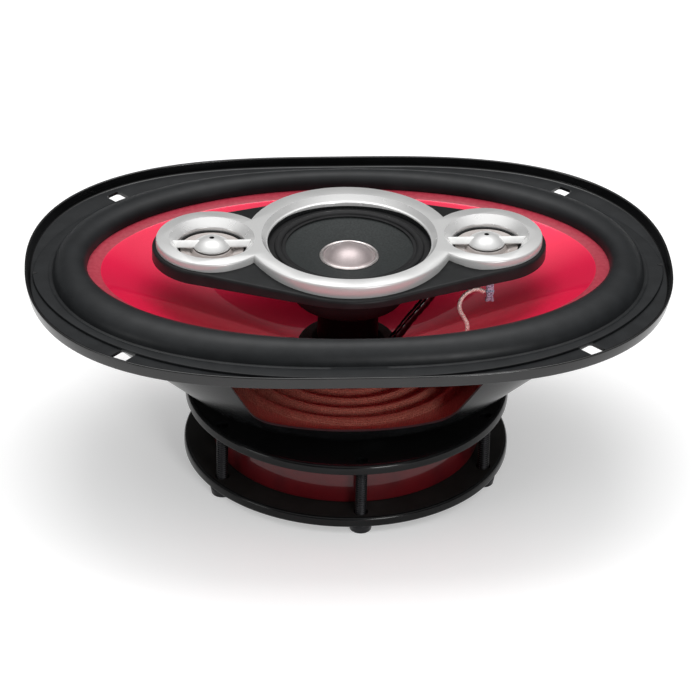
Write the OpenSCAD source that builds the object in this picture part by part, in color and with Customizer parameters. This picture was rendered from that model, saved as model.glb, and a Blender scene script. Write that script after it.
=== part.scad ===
// Oval four-way coaxial car speaker. Millimetres.
// Origin: centre of the mounting flange's rear face. +Z: the way the sound leaves. +X: the long way.

/* [Flange] */
// Overall length of the flange
flange_l = 237; // [225:1:250]
// Overall width of the flange
flange_w = 166; // [160:1:172]
// Height of the upturned lip above the rear face
lip_h = 5.1; // [3:0.1:6]
// Thickness of the pressed steel sheet
sheet_t = 1.2; // [0.8:0.1:1.5]
// Distance between the mounting slots along the length
slot_spacing_x = 167; // [165:0.5:170]
// Distance between the mounting slots across the width
slot_spacing_y = 117.4; // [117:0.1:121]
// Width of a mounting slot
slot_w = 5.8; // [4:0.1:6]
// End-to-end length of a mounting slot
slot_l = 9; // [7:0.1:10]

/* [Basket] */
// Depth from the flange's rear face to the outside of the basket floor
bowl_depth = 45.6; // [44:0.1:47]
// Radius of the flat basket floor
floor_r = 42; // [41:0.5:43]
// Height of the step from the basket floor to the spider's plateau
plateau_h = 7.4; // [7:0.1:7.8]
// Half width of the bowl's lower rim
rim_w = 50.4; // [50:0.1:51]
// Half angle of a side wall at the flange
leg_angle_top = 53; // [52:1:58]
// Half angle of a side wall at the plateau
leg_angle_low = 52; // [50:1:54]

/* [Motor] */
// Radius of the top plate
plate_r = 60; // [58:0.1:62]
// Thickness of the top plate
top_plate_t = 4; // [3.5:0.1:4.5]
// Radius of the ferrite magnet
magnet_r = 48.2; // [46:0.1:48.5]
// Height of the ferrite magnet
magnet_h = 18; // [16:0.5:20]
// Radius of the painted sleeve around the magnet
sleeve_r = 49.5; // [49:0.1:50.5]
// Thickness of the back plate
back_plate_t = 3.9; // [3.5:0.1:4.5]
// Radius of the circle of motor screws
screw_circle_r = 55.8; // [55.5:0.1:57]
// Turn of the motor screws about the axis
screw_turn = 2.4; // [0:0.1:4]
// Number of motor screws
screw_count = 6; // [6:1:6]
// Radius of a screw's thread
screw_r = 2.2; // [2:0.1:2.4]
// Radius of a screw's head
screw_head_r = 4.4; // [4:0.1:5]
// Height of a screw's head
screw_head_h = 3.3; // [3:0.1:4]
// Radius of the pole piece
pole_r = 12.25; // [12:0.05:12.3]

/* [Moving cone] */
// Length of the cone's outer edge
cone_l = 191.4; // [188:0.2:194]
// Width of the cone's outer edge
cone_w = 118.4; // [116:0.2:121]
// Width of the flat band along the cone's edge
band_w = 5; // [4:0.5:6]
// Radius of the cone at the dust ring
neck_r = 18; // [17.5:0.1:18.5]
// Inner radius of the voice coil former
former_r = 12.7; // [12.6:0.05:12.75]
// Height of the surround's roll above its feet
roll_h = 5.4; // [4.5:0.1:6]

/* [Pod] */
// Height of the flat top of the silver trim
trim_top = 16; // [15.5:0.1:17]
// Distance from the centre to each tweeter's axis
tweeter_x = 50.2; // [50:0.1:51]
// Outer radius of the midrange ring
mid_ring_r = 38; // [37:0.5:39]
// Radius of the midrange opening
mid_hole_r = 29.5; // [29.3:0.1:30]
// Outer radius of a tweeter ring
tweeter_ring_r = 20.4; // [20:0.1:21]
// Radius of a tweeter opening
tweeter_hole_r = 12.5; // [12:0.1:12.8]
// Radius of the centre post
post_r = 11.2; // [10.5:0.1:11.4]
// Outer radius of the midrange can
can_r = 21; // [20.5:0.1:22]

/* [Hidden] */
$fn = 96;

STEPS = 72;              // points round every oval
GAP = 0.05;              // glue line between touching round pieces
// Ovals are [half length, half width, exponent along x, exponent along y].
FLANGE = [flange_l / 2, flange_w / 2, 3.08, 2.24];
LIP_T = 1.1;
LANDING = [flange_l / 2 - 2.9, flange_w / 2 - 5.4, 2.42, 1.76];
ROLL_OUT = [108.3, 70.3, 2.4, 2.1];
RIM = [61, rim_w, 2, 2];
PLATEAU_Z = plateau_h + sheet_t - bowl_depth;
WINDOW_Z = PLATEAU_Z + 1.8;
RIM_Z = PLATEAU_Z - 3;
WALL_T = 1.4;
CONE_EDGE = [cone_l / 2, cone_w / 2, 2, 2];
CONE_BAND = [cone_l / 2 - band_w, cone_w / 2 - band_w, 2, 2];
LANDING_T = 1;
SURROUND_T = 0.8;
GLUE_W = 1.8;
TAB_Y = 49.5;
BOARD_Y = TAB_Y + sheet_t;
BOARD_T = 1.6;
RIVET_Z = PLATEAU_Z + 4.3;
BLADE_Z = PLATEAU_Z + 8.5;
CONE_EDGE_Z = 3.5;
CONE_T = 0.6;
NECK_Z = -30;
FORMER_T = 0.25;
FORMER_OUT = former_r + FORMER_T;
NECK_FLOOR_Z = NECK_Z - 1.6;
SPIDER_Z = PLATEAU_Z + 0.41;
PLATE_TOP = -bowl_depth;
MAGNET_TOP = PLATE_TOP - top_plate_t;
BACK_TOP = MAGNET_TOP - magnet_h;
BACK_BOTTOM = BACK_TOP - back_plate_t;
POLE_TOP = PLATE_TOP + 1;
BOLT_R = 3;
HOUSING_TOP = trim_top - 4;
HOUSING_BOTTOM = HOUSING_TOP - 5;
HOUSING_FLOOR = 1.2;
HOUSING_MID_R = 40;
HOUSING_END_R = 22;
HOUSING_END_X = 50;
CAN_BOTTOM = HOUSING_BOTTOM - 15.6;
LEDGE_Z = HOUSING_TOP - 1;
YOKE_R = 14.5;
COIL_R = 9.7;
MID_CONE_R = 24.6;
MID_NECK_Z = 7.7;
POST_TOP = CAN_BOTTOM;
EYELET_R = 1.5;
EYELETS = [[41, -30], [-9, 33], [9, 33]];
POD_LEAD_ROUTE = [[47.9, -20.6, 3.6], [45.6, -21.2, 5], [43, -22, 4.9], [40.2, -23, 3.2],
    [38.8, -24.5, 1], [38.9, -26, -1.1], [40.1, -27.2, -3.1], [41.3, -28.4, -5.2],
    [41.4, -29.4, -7.2], [41, -30, -9.7]];
POD_WIRE_ROUTE = [[34, -8, 6.6], [31, -8, 0], [27.4, -8, -6], [23, -8, -13.5],
    [18.9, -8, -19.8], [16.2, -7.4, -24], [14.6, -7, -27.1]];
TINSEL_ROUTE = [[9, 33, -19.35], [9.1, 33.2, -22], [9.4, 35, -27], [9.6, 38.5, -30.5], [9.5, 42, -31.4],
    [9.2, 45.5, -30.2], [9, 48, -28.7], [9, 49.65, BLADE_Z]];

// ---- shared geometry ----

function sgn(v) = v < 0 ? -1 : 1;
// Radius of an oval in one direction, found by halving.
function oval_r(o, a, lo = 0, hi = 160, n = 22) =
    n == 0 ? (lo + hi) / 2
    : let (r = (lo + hi) / 2)
      pow(abs(r * cos(a)) / o[0], o[2]) + pow(abs(r * sin(a)) / o[1], o[3]) > 1
        ? oval_r(o, a, lo, r, n - 1)
        : oval_r(o, a, r, hi, n - 1);
function oval(o) = [for (i = [0 : STEPS - 1]) let (a = 360 * i / STEPS) oval_r(o, a) * [cos(a), sin(a)]];
function grow(o, d) = [o[0] + d, o[1] + d, o[2], o[3]];
function mix(a, b, t) = a + (b - a) * t;

// Skin over closed rings of equal length, the last ring joined back to the first: a ring-shaped solid.
module ring_skin(rings) {
    n = len(rings[0]);
    k = len(rings);
    polyhedron(
        points = [for (r = rings) each r],
        faces = [for (j = [0 : k - 1], i = [0 : n - 1])
            let (a = j * n + i, b = j * n + (i + 1) % n, c = ((j + 1) % k) * n + i,
                d = ((j + 1) % k) * n + (i + 1) % n)
            each [[a, b, d], [a, d, c]]]);
}

// Skin over open strips of equal length: the strips go round the section, and both ends are capped.
module strip_skin(strips) {
    n = len(strips[0]);
    k = len(strips);
    polyhedron(
        points = [for (s = strips) each s],
        faces = concat(
            [for (j = [0 : k - 1], i = [0 : n - 2])
                let (a = j * n + i, b = a + 1, c = ((j + 1) % k) * n + i, d = c + 1)
                each [[a, b, d], [a, d, c]]],
            [[for (j = [0 : k - 1]) j * n]],
            [[for (j = [k - 1 : -1 : 0]) j * n + n - 1]]));
}

// Round tube along a route, closed at both ends. Each ring stands square to the route.
function unit(v) = v / norm(v);
module tube(route, r, sides = 8) {
    n = len(route);
    dir = [for (i = [0 : n - 1]) unit(route[min(i + 1, n - 1)] - route[max(i - 1, 0)])];
    side = [for (d = dir) unit(cross(d, [0.31, 1, 0.17]))];
    ring = [for (i = [0 : n - 1], s = [0 : sides - 1])
        let (a = 360 * s / sides) route[i] + r * (cos(a) * side[i] + sin(a) * cross(dir[i], side[i]))];
    polyhedron(
        points = ring,
        faces = concat(
            [[for (s = [0 : sides - 1]) s]],
            [for (i = [0 : n - 2], s = [0 : sides - 1])
                let (a = i * sides + s, b = i * sides + (s + 1) % sides)
                each [[a, a + sides, b + sides], [a, b + sides, b]]],
            [[for (s = [sides - 1 : -1 : 0]) (n - 1) * sides + s]]));
}

// Smooth points through a short list: Catmull-Rom, k steps a stretch.
function smooth_point(p, i, t) =
    let (a = p[max(i - 1, 0)], b = p[i], c = p[i + 1], d = p[min(i + 2, len(p) - 1)])
    0.5 * ((2 * b) + (c - a) * t + (2 * a - 5 * b + 4 * c - d) * t * t
        + (3 * b - a - 3 * c + d) * t * t * t);
function smooth(p, k = 3) =
    concat([for (i = [0 : len(p) - 2], j = [0 : k - 1]) smooth_point(p, i, j / k)], [p[len(p) - 1]]);

module ring(r_out, r_in, z0, z1) {
    translate([0, 0, z0])
        difference() {
            cylinder(r = r_out, h = z1 - z0);
            translate([0, 0, -1])
                cylinder(r = r_in, h = z1 - z0 + 2);
        }
}

// Disc or plate with a small chamfer on both rims.
module chamfered_disc(r, z0, z1, c = 0.6) {
    rotate_extrude()
        polygon([[0, z0], [r - c, z0], [r, z0 + c], [r, z1 - c], [r - c, z1], [0, z1]]);
}

module at_screws() {
    for (i = [0 : screw_count - 1])
        rotate([0, 0, screw_turn - 90 + 360 * i / screw_count])
            translate([screw_circle_r, 0, 0])
                children();
}

module at_tweeter(side) {
    translate([side * tweeter_x, 0, 0])
        children();
}

module mounting_slots(grow_by = 0) {
    r = slot_w / 2 + grow_by;
    half = slot_l / 2 - slot_w / 2;
    for (sx = [-1, 1], sy = [-1, 1])
        translate([sx * slot_spacing_x / 2, sy * slot_spacing_y / 2, -5]) {
            translate([-half, 0, 0])
                cylinder(r = r, h = 15, $fn = 48);
            translate([half, 0, 0])
                cylinder(r = r, h = 15, $fn = 48);
            translate([-half, -r, 0])
                cube([2 * half, 2 * r, 15]);
        }
}

// ---- basket ----

// The basket is one steel stamping, modelled as four solids that meet edge to edge.
// Radius of the bowl's outer face in one direction and at one height.
function wall_r(a, z) =
    mix(oval_r(ROLL_OUT, a), oval_r(RIM, a), pow((sheet_t - z) / (sheet_t - RIM_Z), 1.1));

// One side wall of the bowl, centred on the direction mid. It stands on the rim.
module side_wall(mid) {
    LEVELS = [for (k = [0 : 8]) k / 8];
    K = [for (k = [-12 : 12]) k / 12];
    row = function (s, inset)
        let (z = mix(sheet_t - 0.02, WINDOW_Z + 0.03, s))
        [for (k = K)
            let (a = mid + k * mix(leg_angle_top, leg_angle_low, s), r = wall_r(a, z) - inset)
            [r * cos(a), r * sin(a), z]];
    color("#141516")
        strip_skin(concat([for (s = LEVELS) row(s, 0)], [for (s = LEVELS) row(1 - s, WALL_T)]));
}

module basket_wall_left() { side_wall(180); }
module basket_wall_right() { side_wall(0); }

module basket_flange() {
    color("#141516")
        difference() {
            union() {
                linear_extrude(sheet_t)
                    polygon(oval(grow(FLANGE, -LIP_T / 2)));
                linear_extrude(lip_h)
                    difference() {
                        polygon(oval(FLANGE));
                        polygon(oval(grow(FLANGE, -LIP_T)));
                    }
            }
            translate([0, 0, -1])
                linear_extrude(sheet_t + 2)
                    polygon(oval(grow(ROLL_OUT, 0.2)));
            mounting_slots();
        }
}

// Flat floor on the top plate, stepped up to the oval plateau that carries the spider. The plateau's edge
// is the rim below the windows. A tab carries the terminal board.
module basket_floor() {
    z = -bowl_depth;
    under = PLATEAU_Z - sheet_t;
    ANGLES = [for (i = [0 : STEPS - 1]) 360 * i / STEPS];
    at = function (r, z) [for (a = ANGLES) [r * cos(a), r * sin(a), z]];
    at_wall = function (z, inset)
        [for (a = ANGLES) let (r = wall_r(a, z) - inset) [r * cos(a), r * sin(a), z]];
    color("#141516")
        difference() {
            union() {
                ring_skin([at(30, z + sheet_t), at(floor_r + 0.4, z + sheet_t), at(floor_r + 0.4, PLATEAU_Z),
                    at_wall(PLATEAU_Z, WALL_T), at_wall(WINDOW_Z, WALL_T), at_wall(WINDOW_Z, 0),
                    at_wall(RIM_Z, 0), at_wall(RIM_Z, sheet_t), at_wall(under, sheet_t),
                    at(floor_r + 1.6, under), at(floor_r + 1.6, z), at(30, z)]);
                translate([-8, TAB_Y, PLATEAU_Z - 0.6])
                    cube([16, sheet_t, 7]);
            }
            for (x = [-5.5, 5.5])
                translate([x, 45, RIVET_Z])
                    rotate([-90, 0, 0])
                        cylinder(r = 1.2, h = 12, $fn = 32);
            for (a = [0 : 90 : 270])
                rotate([0, 0, a + 45])
                    translate([36, 0, PLATE_TOP - 1])
                        cylinder(r = 2, h = 4, $fn = 32);
        }
}

// Staked posts of the top plate, spread over the basket floor.
module basket_rivets() {
    color("#1c1d1e")
        for (a = [0 : 90 : 270])
            rotate([0, 0, a + 45])
                translate([36, 0, 0]) {
                    translate([0, 0, PLATE_TOP - 2])
                        cylinder(r = 1.95, h = sheet_t + 2.3, $fn = 32);
                    translate([0, 0, PLATE_TOP + sheet_t])
                        cylinder(r1 = 3.2, r2 = 2.4, h = 1.2, $fn = 32);
                }
}

// ---- motor ----

module top_plate() {
    color("#1a1b1c")
        difference() {
            chamfered_disc(plate_r, MAGNET_TOP, PLATE_TOP);
            translate([0, 0, MAGNET_TOP - 1])
                cylinder(r = FORMER_OUT + 1.05, h = top_plate_t + 2);
            at_screws()
                translate([0, 0, MAGNET_TOP - 1])
                    cylinder(r = screw_r + GAP, h = top_plate_t + 2, $fn = 32);
            for (a = [0 : 90 : 270])
                rotate([0, 0, a + 45])
                    translate([36, 0, PLATE_TOP - 2.05])
                        cylinder(r = 2, h = 4, $fn = 32);
        }
}

module magnet() {
    color("#3a3a3c")
        ring(magnet_r, 22, BACK_TOP, MAGNET_TOP);
}

module magnet_sleeve() {
    color("#7a1018")
        ring(sleeve_r, magnet_r + GAP, BACK_TOP + 0.1, MAGNET_TOP - 0.1);
}

module back_plate() {
    color("#1a1b1c")
        difference() {
            chamfered_disc(plate_r + 0.4, BACK_BOTTOM, BACK_TOP);
            translate([0, 0, BACK_BOTTOM - 1])
                cylinder(r = BOLT_R + 0.2, h = back_plate_t + 2);
            translate([0, 0, BACK_BOTTOM - 1])
                cylinder(r = 6.2, h = 3.2 + 1);
            at_screws()
                translate([0, 0, BACK_BOTTOM - 1])
                    cylinder(r = screw_r + 0.4, h = back_plate_t + 2, $fn = 32);
        }
}

module pole_piece() {
    color("#8c8f93")
        ring(pole_r, BOLT_R + 0.2, BACK_TOP, POLE_TOP);
}

module assembly_screws() {
    color("#202122")
        at_screws() {
            difference() {
                union() {
                    translate([0, 0, BACK_BOTTOM - screw_head_h])
                        cylinder(r = screw_head_r, h = screw_head_h, $fn = 48);
                    translate([0, 0, BACK_BOTTOM - 0.5])
                        cylinder(r = screw_r, h = PLATE_TOP - 1.4 - BACK_BOTTOM + 0.5, $fn = 32);
                }
                translate([-3, -0.6, BACK_BOTTOM - screw_head_h - 1])
                    cube([6, 1.2, 2.4]);
                translate([-0.6, -3, BACK_BOTTOM - screw_head_h - 1])
                    cube([1.2, 6, 2.4]);
            }
        }
}

// Hexagon-socket bolt that holds the centre post to the pole piece.
module post_bolt() {
    color("#8c8f93")
        difference() {
            union() {
                translate([0, 0, BACK_BOTTOM + 0.2])
                    cylinder(r = 5.2, h = 3, $fn = 48);
                translate([0, 0, BACK_BOTTOM + 2])
                    cylinder(r = BOLT_R, h = POLE_TOP + 8 - BACK_BOTTOM - 2, $fn = 48);
            }
            translate([0, 0, BACK_BOTTOM - 1])
                cylinder(r = 2.3, h = 3.2, $fn = 6);
        }
}

module centre_post() {
    color("#161616")
        difference() {
            translate([0, 0, POLE_TOP])
                cylinder(r = post_r, h = POST_TOP - POLE_TOP);
            translate([0, 0, POLE_TOP - 1])
                cylinder(r = BOLT_R + GAP, h = 10);
        }
}

// ---- moving cone ----

// A point of the half roll; phi runs from the cone's edge to the landing, in is the depth below the face.
function roll_point(a, phi, in) =
    let (r0 = oval_r(CONE_EDGE, a), r1 = oval_r(ROLL_OUT, a))
    let (r = (r0 + r1) / 2 - ((r1 - r0) / 2 - in) * cos(phi))
    let (foot = mix(sheet_t + LANDING_T, CONE_EDGE_Z + 0.65, (1 + cos(phi)) / 2))
    [r * cos(a), r * sin(a), foot + (roll_h - in) * sin(phi)];

module surround() {
    PHI = [for (k = [0 : 9]) 20 * k];
    ANGLES = [for (i = [0 : STEPS - 1]) 360 * i / STEPS];
    at_oval = function (o, out, z)
        [for (a = ANGLES) let (r = oval_r(o, a) + out) [r * cos(a), r * sin(a), z]];
    outer = [for (phi = PHI) [for (a = ANGLES) roll_point(a, phi, 0)]];
    inner = [for (k = [len(PHI) - 1 : -1 : 1]) [for (a = ANGLES) roll_point(a, PHI[k], SURROUND_T)]];
    color("#2b2d2f")
        difference() {
            ring_skin(concat(outer,
                [at_oval(LANDING, 0, sheet_t + LANDING_T)],
                [at_oval(LANDING, 0, sheet_t + 0.01)],
                [at_oval(ROLL_OUT, -SURROUND_T, sheet_t + 0.01)],
                inner,
                [at_oval(CONE_EDGE, GLUE_W, CONE_EDGE_Z + GAP)],
                [at_oval(CONE_EDGE, 0, CONE_EDGE_Z + GAP)]));
            mounting_slots(0.3);
        }
}

// Share of the way out from the neck to the band, against the rise.
function cone_rise(s) = pow(s, 1.12);
function cone_pt(a, s, drop) =
    let (r = mix(neck_r, oval_r(CONE_BAND, a), s))
    [r * cos(a), r * sin(a), mix(NECK_Z, CONE_EDGE_Z - 0.7, cone_rise(s)) - drop];
// Height of the cone's front face at a point.
function cone_z(x, y) =
    let (a = atan2(y, x), s = (norm([x, y]) - neck_r) / (oval_r(CONE_BAND, a) - neck_r))
    mix(NECK_Z, CONE_EDGE_Z - 0.7, cone_rise(s));

module cone() {
    ANGLES = [for (i = [0 : STEPS - 1]) 360 * i / STEPS];
    LEVELS = [0, 0.1, 0.25, 0.45, 0.65, 0.85, 1];
    rim = function (drop, inset) [for (a = ANGLES)
        let (r = oval_r(CONE_EDGE, a) + GLUE_W - inset) [r * cos(a), r * sin(a), CONE_EDGE_Z - drop]];
    neck = function (z) [for (a = ANGLES) [(FORMER_OUT + GAP) * cos(a), (FORMER_OUT + GAP) * sin(a), z]];
    top = [for (s = LEVELS) [for (a = ANGLES) cone_pt(a, s, 0)]];
    bottom = [for (k = [len(LEVELS) - 1 : -1 : 0]) [for (a = ANGLES) cone_pt(a, LEVELS[k], CONE_T)]];
    color("#c01838")
        difference() {
            ring_skin(concat([neck(NECK_FLOOR_Z)], top, [rim(0, 0)], [rim(CONE_T, 0)], bottom,
                [neck(NECK_FLOOR_Z - CONE_T)]));
            for (e = EYELETS)
                translate([e[0], e[1], -40])
                    cylinder(r = EYELET_R, h = 60, $fn = 24);
        }
}

module spider() {
    corrugations = 4.5;
    r0 = FORMER_OUT + GAP;
    r1 = 14.25;
    r2 = floor_r + 0.15;
    r3 = 49.3;
    wave = function (r) r < r1 || r > r2 ? 0 : 1.5 * sin(360 * corrugations * (r - r1) / (r2 - r1));
    radii = concat([r0], [for (k = [0 : 8 * corrugations]) mix(r1, r2, k / (8 * corrugations))], [r3]);
    color("#7a4038")
        rotate_extrude()
            polygon(concat(
                [for (r = radii) [r, SPIDER_Z + wave(r) + 0.2]],
                [for (k = [len(radii) - 1 : -1 : 0]) [radii[k], SPIDER_Z + wave(radii[k]) - 0.4]]));
}

module voice_coil_former() {
    color("#b08d57")
        ring(FORMER_OUT, former_r, -52.6, NECK_FLOOR_Z + 0.6);
}

module voice_coil_winding() {
    color("#a5522a")
        ring(FORMER_OUT + GAP + 0.5, FORMER_OUT + 0.01, -52.6, -42.6);
}

// Felt ring over the joint of cone and former.
module dust_ring() {
    color("#3c3c3a")
        rotate_extrude()
            polygon([[FORMER_OUT + GAP, NECK_FLOOR_Z + 0.1], [neck_r, NECK_Z + 0.08],
                [neck_r + 0.5, NECK_Z + 0.8], [neck_r - 0.6, NECK_Z + 2.4], [FORMER_OUT + 0.6, NECK_Z + 2.4],
                [FORMER_OUT - 0.2, NECK_Z + 0.6], [FORMER_OUT - 0.2, NECK_FLOOR_Z + 0.65],
                [FORMER_OUT + GAP, NECK_FLOOR_Z + 0.65]]);
}

module lead_eyelets() {
    color("#b9bcc0")
        for (e = EYELETS)
            translate([e[0], e[1], cone_z(e[0], e[1]) - 2])
                cylinder(r = EYELET_R - GAP, h = 3, $fn = 24);
}

// ---- terminals ----

module tinsel_lead(side) {
    color("#b8735a")
        tube(smooth([for (p = TINSEL_ROUTE) [side * p[0], p[1], p[2]]]), 0.7);
}

module tinsel_lead_left() { tinsel_lead(-1); }
module tinsel_lead_right() { tinsel_lead(1); }

module terminal_board() {
    color("#8a6a3f")
        difference() {
            translate([-14, BOARD_Y, WINDOW_Z + 0.3])
                cube([28, BOARD_T, 14.9]);
            for (x = [-5.5, 5.5])
                translate([x, 45, RIVET_Z])
                    rotate([-90, 0, 0])
                        cylinder(r = 1.2, h = 12, $fn = 32);
            for (x = [-9, 9])
                translate([x, 45, BLADE_Z])
                    rotate([-90, 0, 0])
                        cylinder(r = 1.2, h = 12, $fn = 32);
        }
}

module terminal_rivets() {
    color("#b9bcc0") {
        for (x = [-5.5, 5.5])
            translate([x, 0, RIVET_Z])
                rotate([-90, 0, 0]) {
                    translate([0, 0, TAB_Y - 0.5])
                        cylinder(r = 1.15, h = sheet_t + 2.6, $fn = 32);
                    translate([0, 0, TAB_Y - 0.9])
                        cylinder(r1 = 1.6, r2 = 2.2, h = 0.9, $fn = 32);
                    translate([0, 0, BOARD_Y + BOARD_T])
                        cylinder(r1 = 2.2, r2 = 1.6, h = 0.9, $fn = 32);
                }
        for (x = [-9, 9])
            translate([x, 0, BLADE_Z])
                rotate([-90, 0, 0]) {
                    translate([0, 0, BOARD_Y - 0.4])
                        cylinder(r = 1.15, h = 3.3, $fn = 32);
                    translate([0, 0, BOARD_Y - 0.9])
                        cylinder(r1 = 1.6, r2 = 2.2, h = 0.9, $fn = 32);
                    translate([0, 0, BOARD_Y + 2.4])
                        cylinder(r1 = 2.2, r2 = 1.6, h = 0.9, $fn = 32);
                }
    }
}

// L-shaped push-on blade: foot on the board, tongue pointing outwards.
module terminal_blade(x, width) {
    y = BOARD_Y + BOARD_T;
    color("#c9ccd0")
        difference() {
            union() {
                translate([x - 3, y, BLADE_Z - 2])
                    cube([6, 0.8, 8.5]);
                translate([x - width / 2, y, BLADE_Z + 5.7])
                    cube([width, 9.5, 0.8]);
            }
            translate([x, y - 1, BLADE_Z])
                rotate([-90, 0, 0])
                    cylinder(r = 1.2, h = 3, $fn = 32);
            translate([x, y + 6.5, BLADE_Z + 4.5])
                cylinder(r = 0.7, h = 3, $fn = 24);
        }
}

module terminal_blade_positive() { terminal_blade(9, 4.8); }
module terminal_blade_negative() { terminal_blade(-9, 2.8); }

module crossover_capacitor() {
    color("#2a2c5a")
        translate([0, BOARD_Y + BOARD_T + 3.5 + GAP, WINDOW_Z + 0.5])
            cylinder(r = 3.5, h = 14, $fn = 48);
}

// ---- pod ----

// Plan of the black housing: round in the middle and at both ends, with straight flanks.
function arc(x, r, from, to, n = 16) =
    [for (k = [0 : n]) let (t = mix(from, to, k / n)) [x + r * cos(t), r * sin(t)]];
module housing_plan(inset = 0) {
    R = HOUSING_MID_R - inset;
    r = HOUSING_END_R - inset;
    a = acos((R - r) / HOUSING_END_X);
    polygon(concat(arc(HOUSING_END_X, r, -a, a), arc(0, R, a, 180 - a),
        arc(-HOUSING_END_X, r, 180 - a, 180 + a), arc(0, R, 180 + a, 360 - a)));
}

module pod_housing() {
    color("#232425")
        difference() {
            union() {
                translate([0, 0, HOUSING_BOTTOM])
                    linear_extrude(4)
                        housing_plan();
                translate([0, 0, HOUSING_BOTTOM + 4])
                    linear_extrude(1)
                        housing_plan(1);
            }
            translate([0, 0, HOUSING_BOTTOM + HOUSING_FLOOR])
                cylinder(r = 27.4, h = 10);
            translate([0, 0, LEDGE_Z])
                cylinder(r = mid_hole_r, h = 10);
            translate([0, 0, HOUSING_BOTTOM - 1])
                cylinder(r = can_r - 0.4, h = 10);
            for (s = [-1, 1])
                at_tweeter(s)
                    translate([0, 0, HOUSING_BOTTOM + HOUSING_FLOOR])
                        cylinder(r = 14, h = 10);
        }
}

// Crossbar and phase dome in front of one tweeter, moulded with the trim.
module tweeter_bridge() {
    bar_top = trim_top - 2.3;
    difference() {
        union() {
            intersection() {
                translate([-16, -2.35, bar_top - 1.4])
                    cube([32, 4.7, 1.4]);
                translate([0, 0, HOUSING_TOP])
                    cylinder(r = 14.2, h = 4);
            }
            translate([0, 0, trim_top - 2.8])
                intersection() {
                    translate([0, 0, -5.9])
                        sphere(r = 8.7);
                    translate([0, 0, -0.6])
                        cylinder(r = 6.4, h = 6);
                }
        }
        translate([0, 0, trim_top - 5])
            cylinder(r = 0.9, h = 8, $fn = 24);
    }
}

module pod_trim() {
    color("#c8c8c8") {
        difference() {
            union() {
                translate([0, 0, HOUSING_TOP])
                    rotate_extrude()
                        polygon([[20, 0], [mid_ring_r, 0], [mid_ring_r, 3.2], [mid_ring_r - 0.8, 4],
                            [20, 4]]);
                for (s = [-1, 1])
                    at_tweeter(s)
                        translate([0, 0, HOUSING_TOP])
                            rotate_extrude()
                                polygon([[5, 0], [tweeter_ring_r, 0], [tweeter_ring_r, 3.2],
                                    [tweeter_ring_r - 0.8, 4], [5, 4]]);
            }
            translate([0, 0, HOUSING_TOP - 1])
                cylinder(r = mid_hole_r, h = 6);
            translate([0, 0, trim_top - 2.5])
                cylinder(r1 = mid_hole_r, r2 = 32.5 + 0.12, h = 2.6);
            for (s = [-1, 1])
                at_tweeter(s) {
                    translate([0, 0, HOUSING_TOP - 1])
                        cylinder(r = tweeter_hole_r, h = 6);
                    translate([0, 0, trim_top - 3.1])
                        cylinder(r1 = tweeter_hole_r, r2 = 15.7, h = 3.2);
                }
        }
        for (s = [-1, 1])
            at_tweeter(s)
                tweeter_bridge();
    }
}

// ---- midrange ----

module midrange_can() {
    color("#141414")
        difference() {
            translate([0, 0, CAN_BOTTOM])
                cylinder(r = can_r, h = HOUSING_BOTTOM - CAN_BOTTOM);
            translate([0, 0, CAN_BOTTOM + 1.4])
                cylinder(r = can_r - 1.2, h = 20);
        }
}

module midrange_yoke() {
    color("#8c8f93")
        difference() {
            translate([0, 0, CAN_BOTTOM + 1.4])
                cylinder(r = YOKE_R, h = 10.6);
            translate([0, 0, CAN_BOTTOM + 3.8])
                cylinder(r = COIL_R + 0.9, h = 12);
        }
}

module midrange_magnet() {
    color("#55585c")
        translate([0, 0, CAN_BOTTOM + 3.8])
            cylinder(r = 9, h = 5.2);
}

module midrange_pole_disc() {
    color("#8c8f93")
        translate([0, 0, CAN_BOTTOM + 9])
            cylinder(r = COIL_R - 0.4, h = 2.6);
}

module midrange_cone() {
    color("#2a2d2d")
        rotate_extrude()
            polygon([[COIL_R + 0.2, MID_NECK_Z], [10.9, MID_NECK_Z], [14.5, 8.2], [19.5, 9.5],
                [MID_CONE_R, LEDGE_Z - 0.05], [MID_CONE_R, LEDGE_Z - 0.5], [19.5, 9], [14.5, 7.7],
                [10.9, 7.2], [COIL_R + 0.2, 7.2]]);
}

module midrange_surround() {
    b = LEDGE_Z + 0.37;
    arc = function (r) [for (k = [0 : 9]) let (p = 180 * k / 9) [26 - r * cos(p), b + r * sin(p)]];
    back = function (r) [for (k = [9 : -1 : 0]) let (p = 180 * k / 9) [26 - r * cos(p), b + r * sin(p)]];
    color("#1b1c1d")
        rotate_extrude()
            polygon(concat([[23.4, b]], arc(1.45), [[mid_hole_r - 0.1, b], [mid_hole_r - 0.1, b - 0.35],
                [27.1, b - 0.35]], back(1.1), [[24.9, b - 0.35], [23.4, b - 0.35]]));
}

module midrange_dome() {
    r_base = 9.1;
    rise = 4;
    ball = (r_base * r_base + rise * rise) / (2 * rise);
    span = asin(r_base / ball);
    centre_z = MID_NECK_Z + 0.35 + rise - ball;
    shell = function (r, p) [r * sin(p), centre_z + r * cos(p)];
    cap = [for (k = [0 : 10]) shell(ball, span * k / 10)];
    under = [for (k = [10 : -1 : 0]) shell(ball - 0.3, span * k / 10)];
    color("#b8acac")
        rotate_extrude()
            polygon(concat(cap, [[10.8, MID_NECK_Z + 0.3], [10.8, MID_NECK_Z + 0.05]],
                [[r_base - 0.3, MID_NECK_Z + 0.05]], under));
}

module midrange_coil() {
    color("#a5522a") {
        ring(COIL_R + 0.15, COIL_R, -0.6, 7.7);
        ring(COIL_R + 0.5, COIL_R + 0.16, -0.6, 4.4);
    }
}

// ---- tweeters ----

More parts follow.
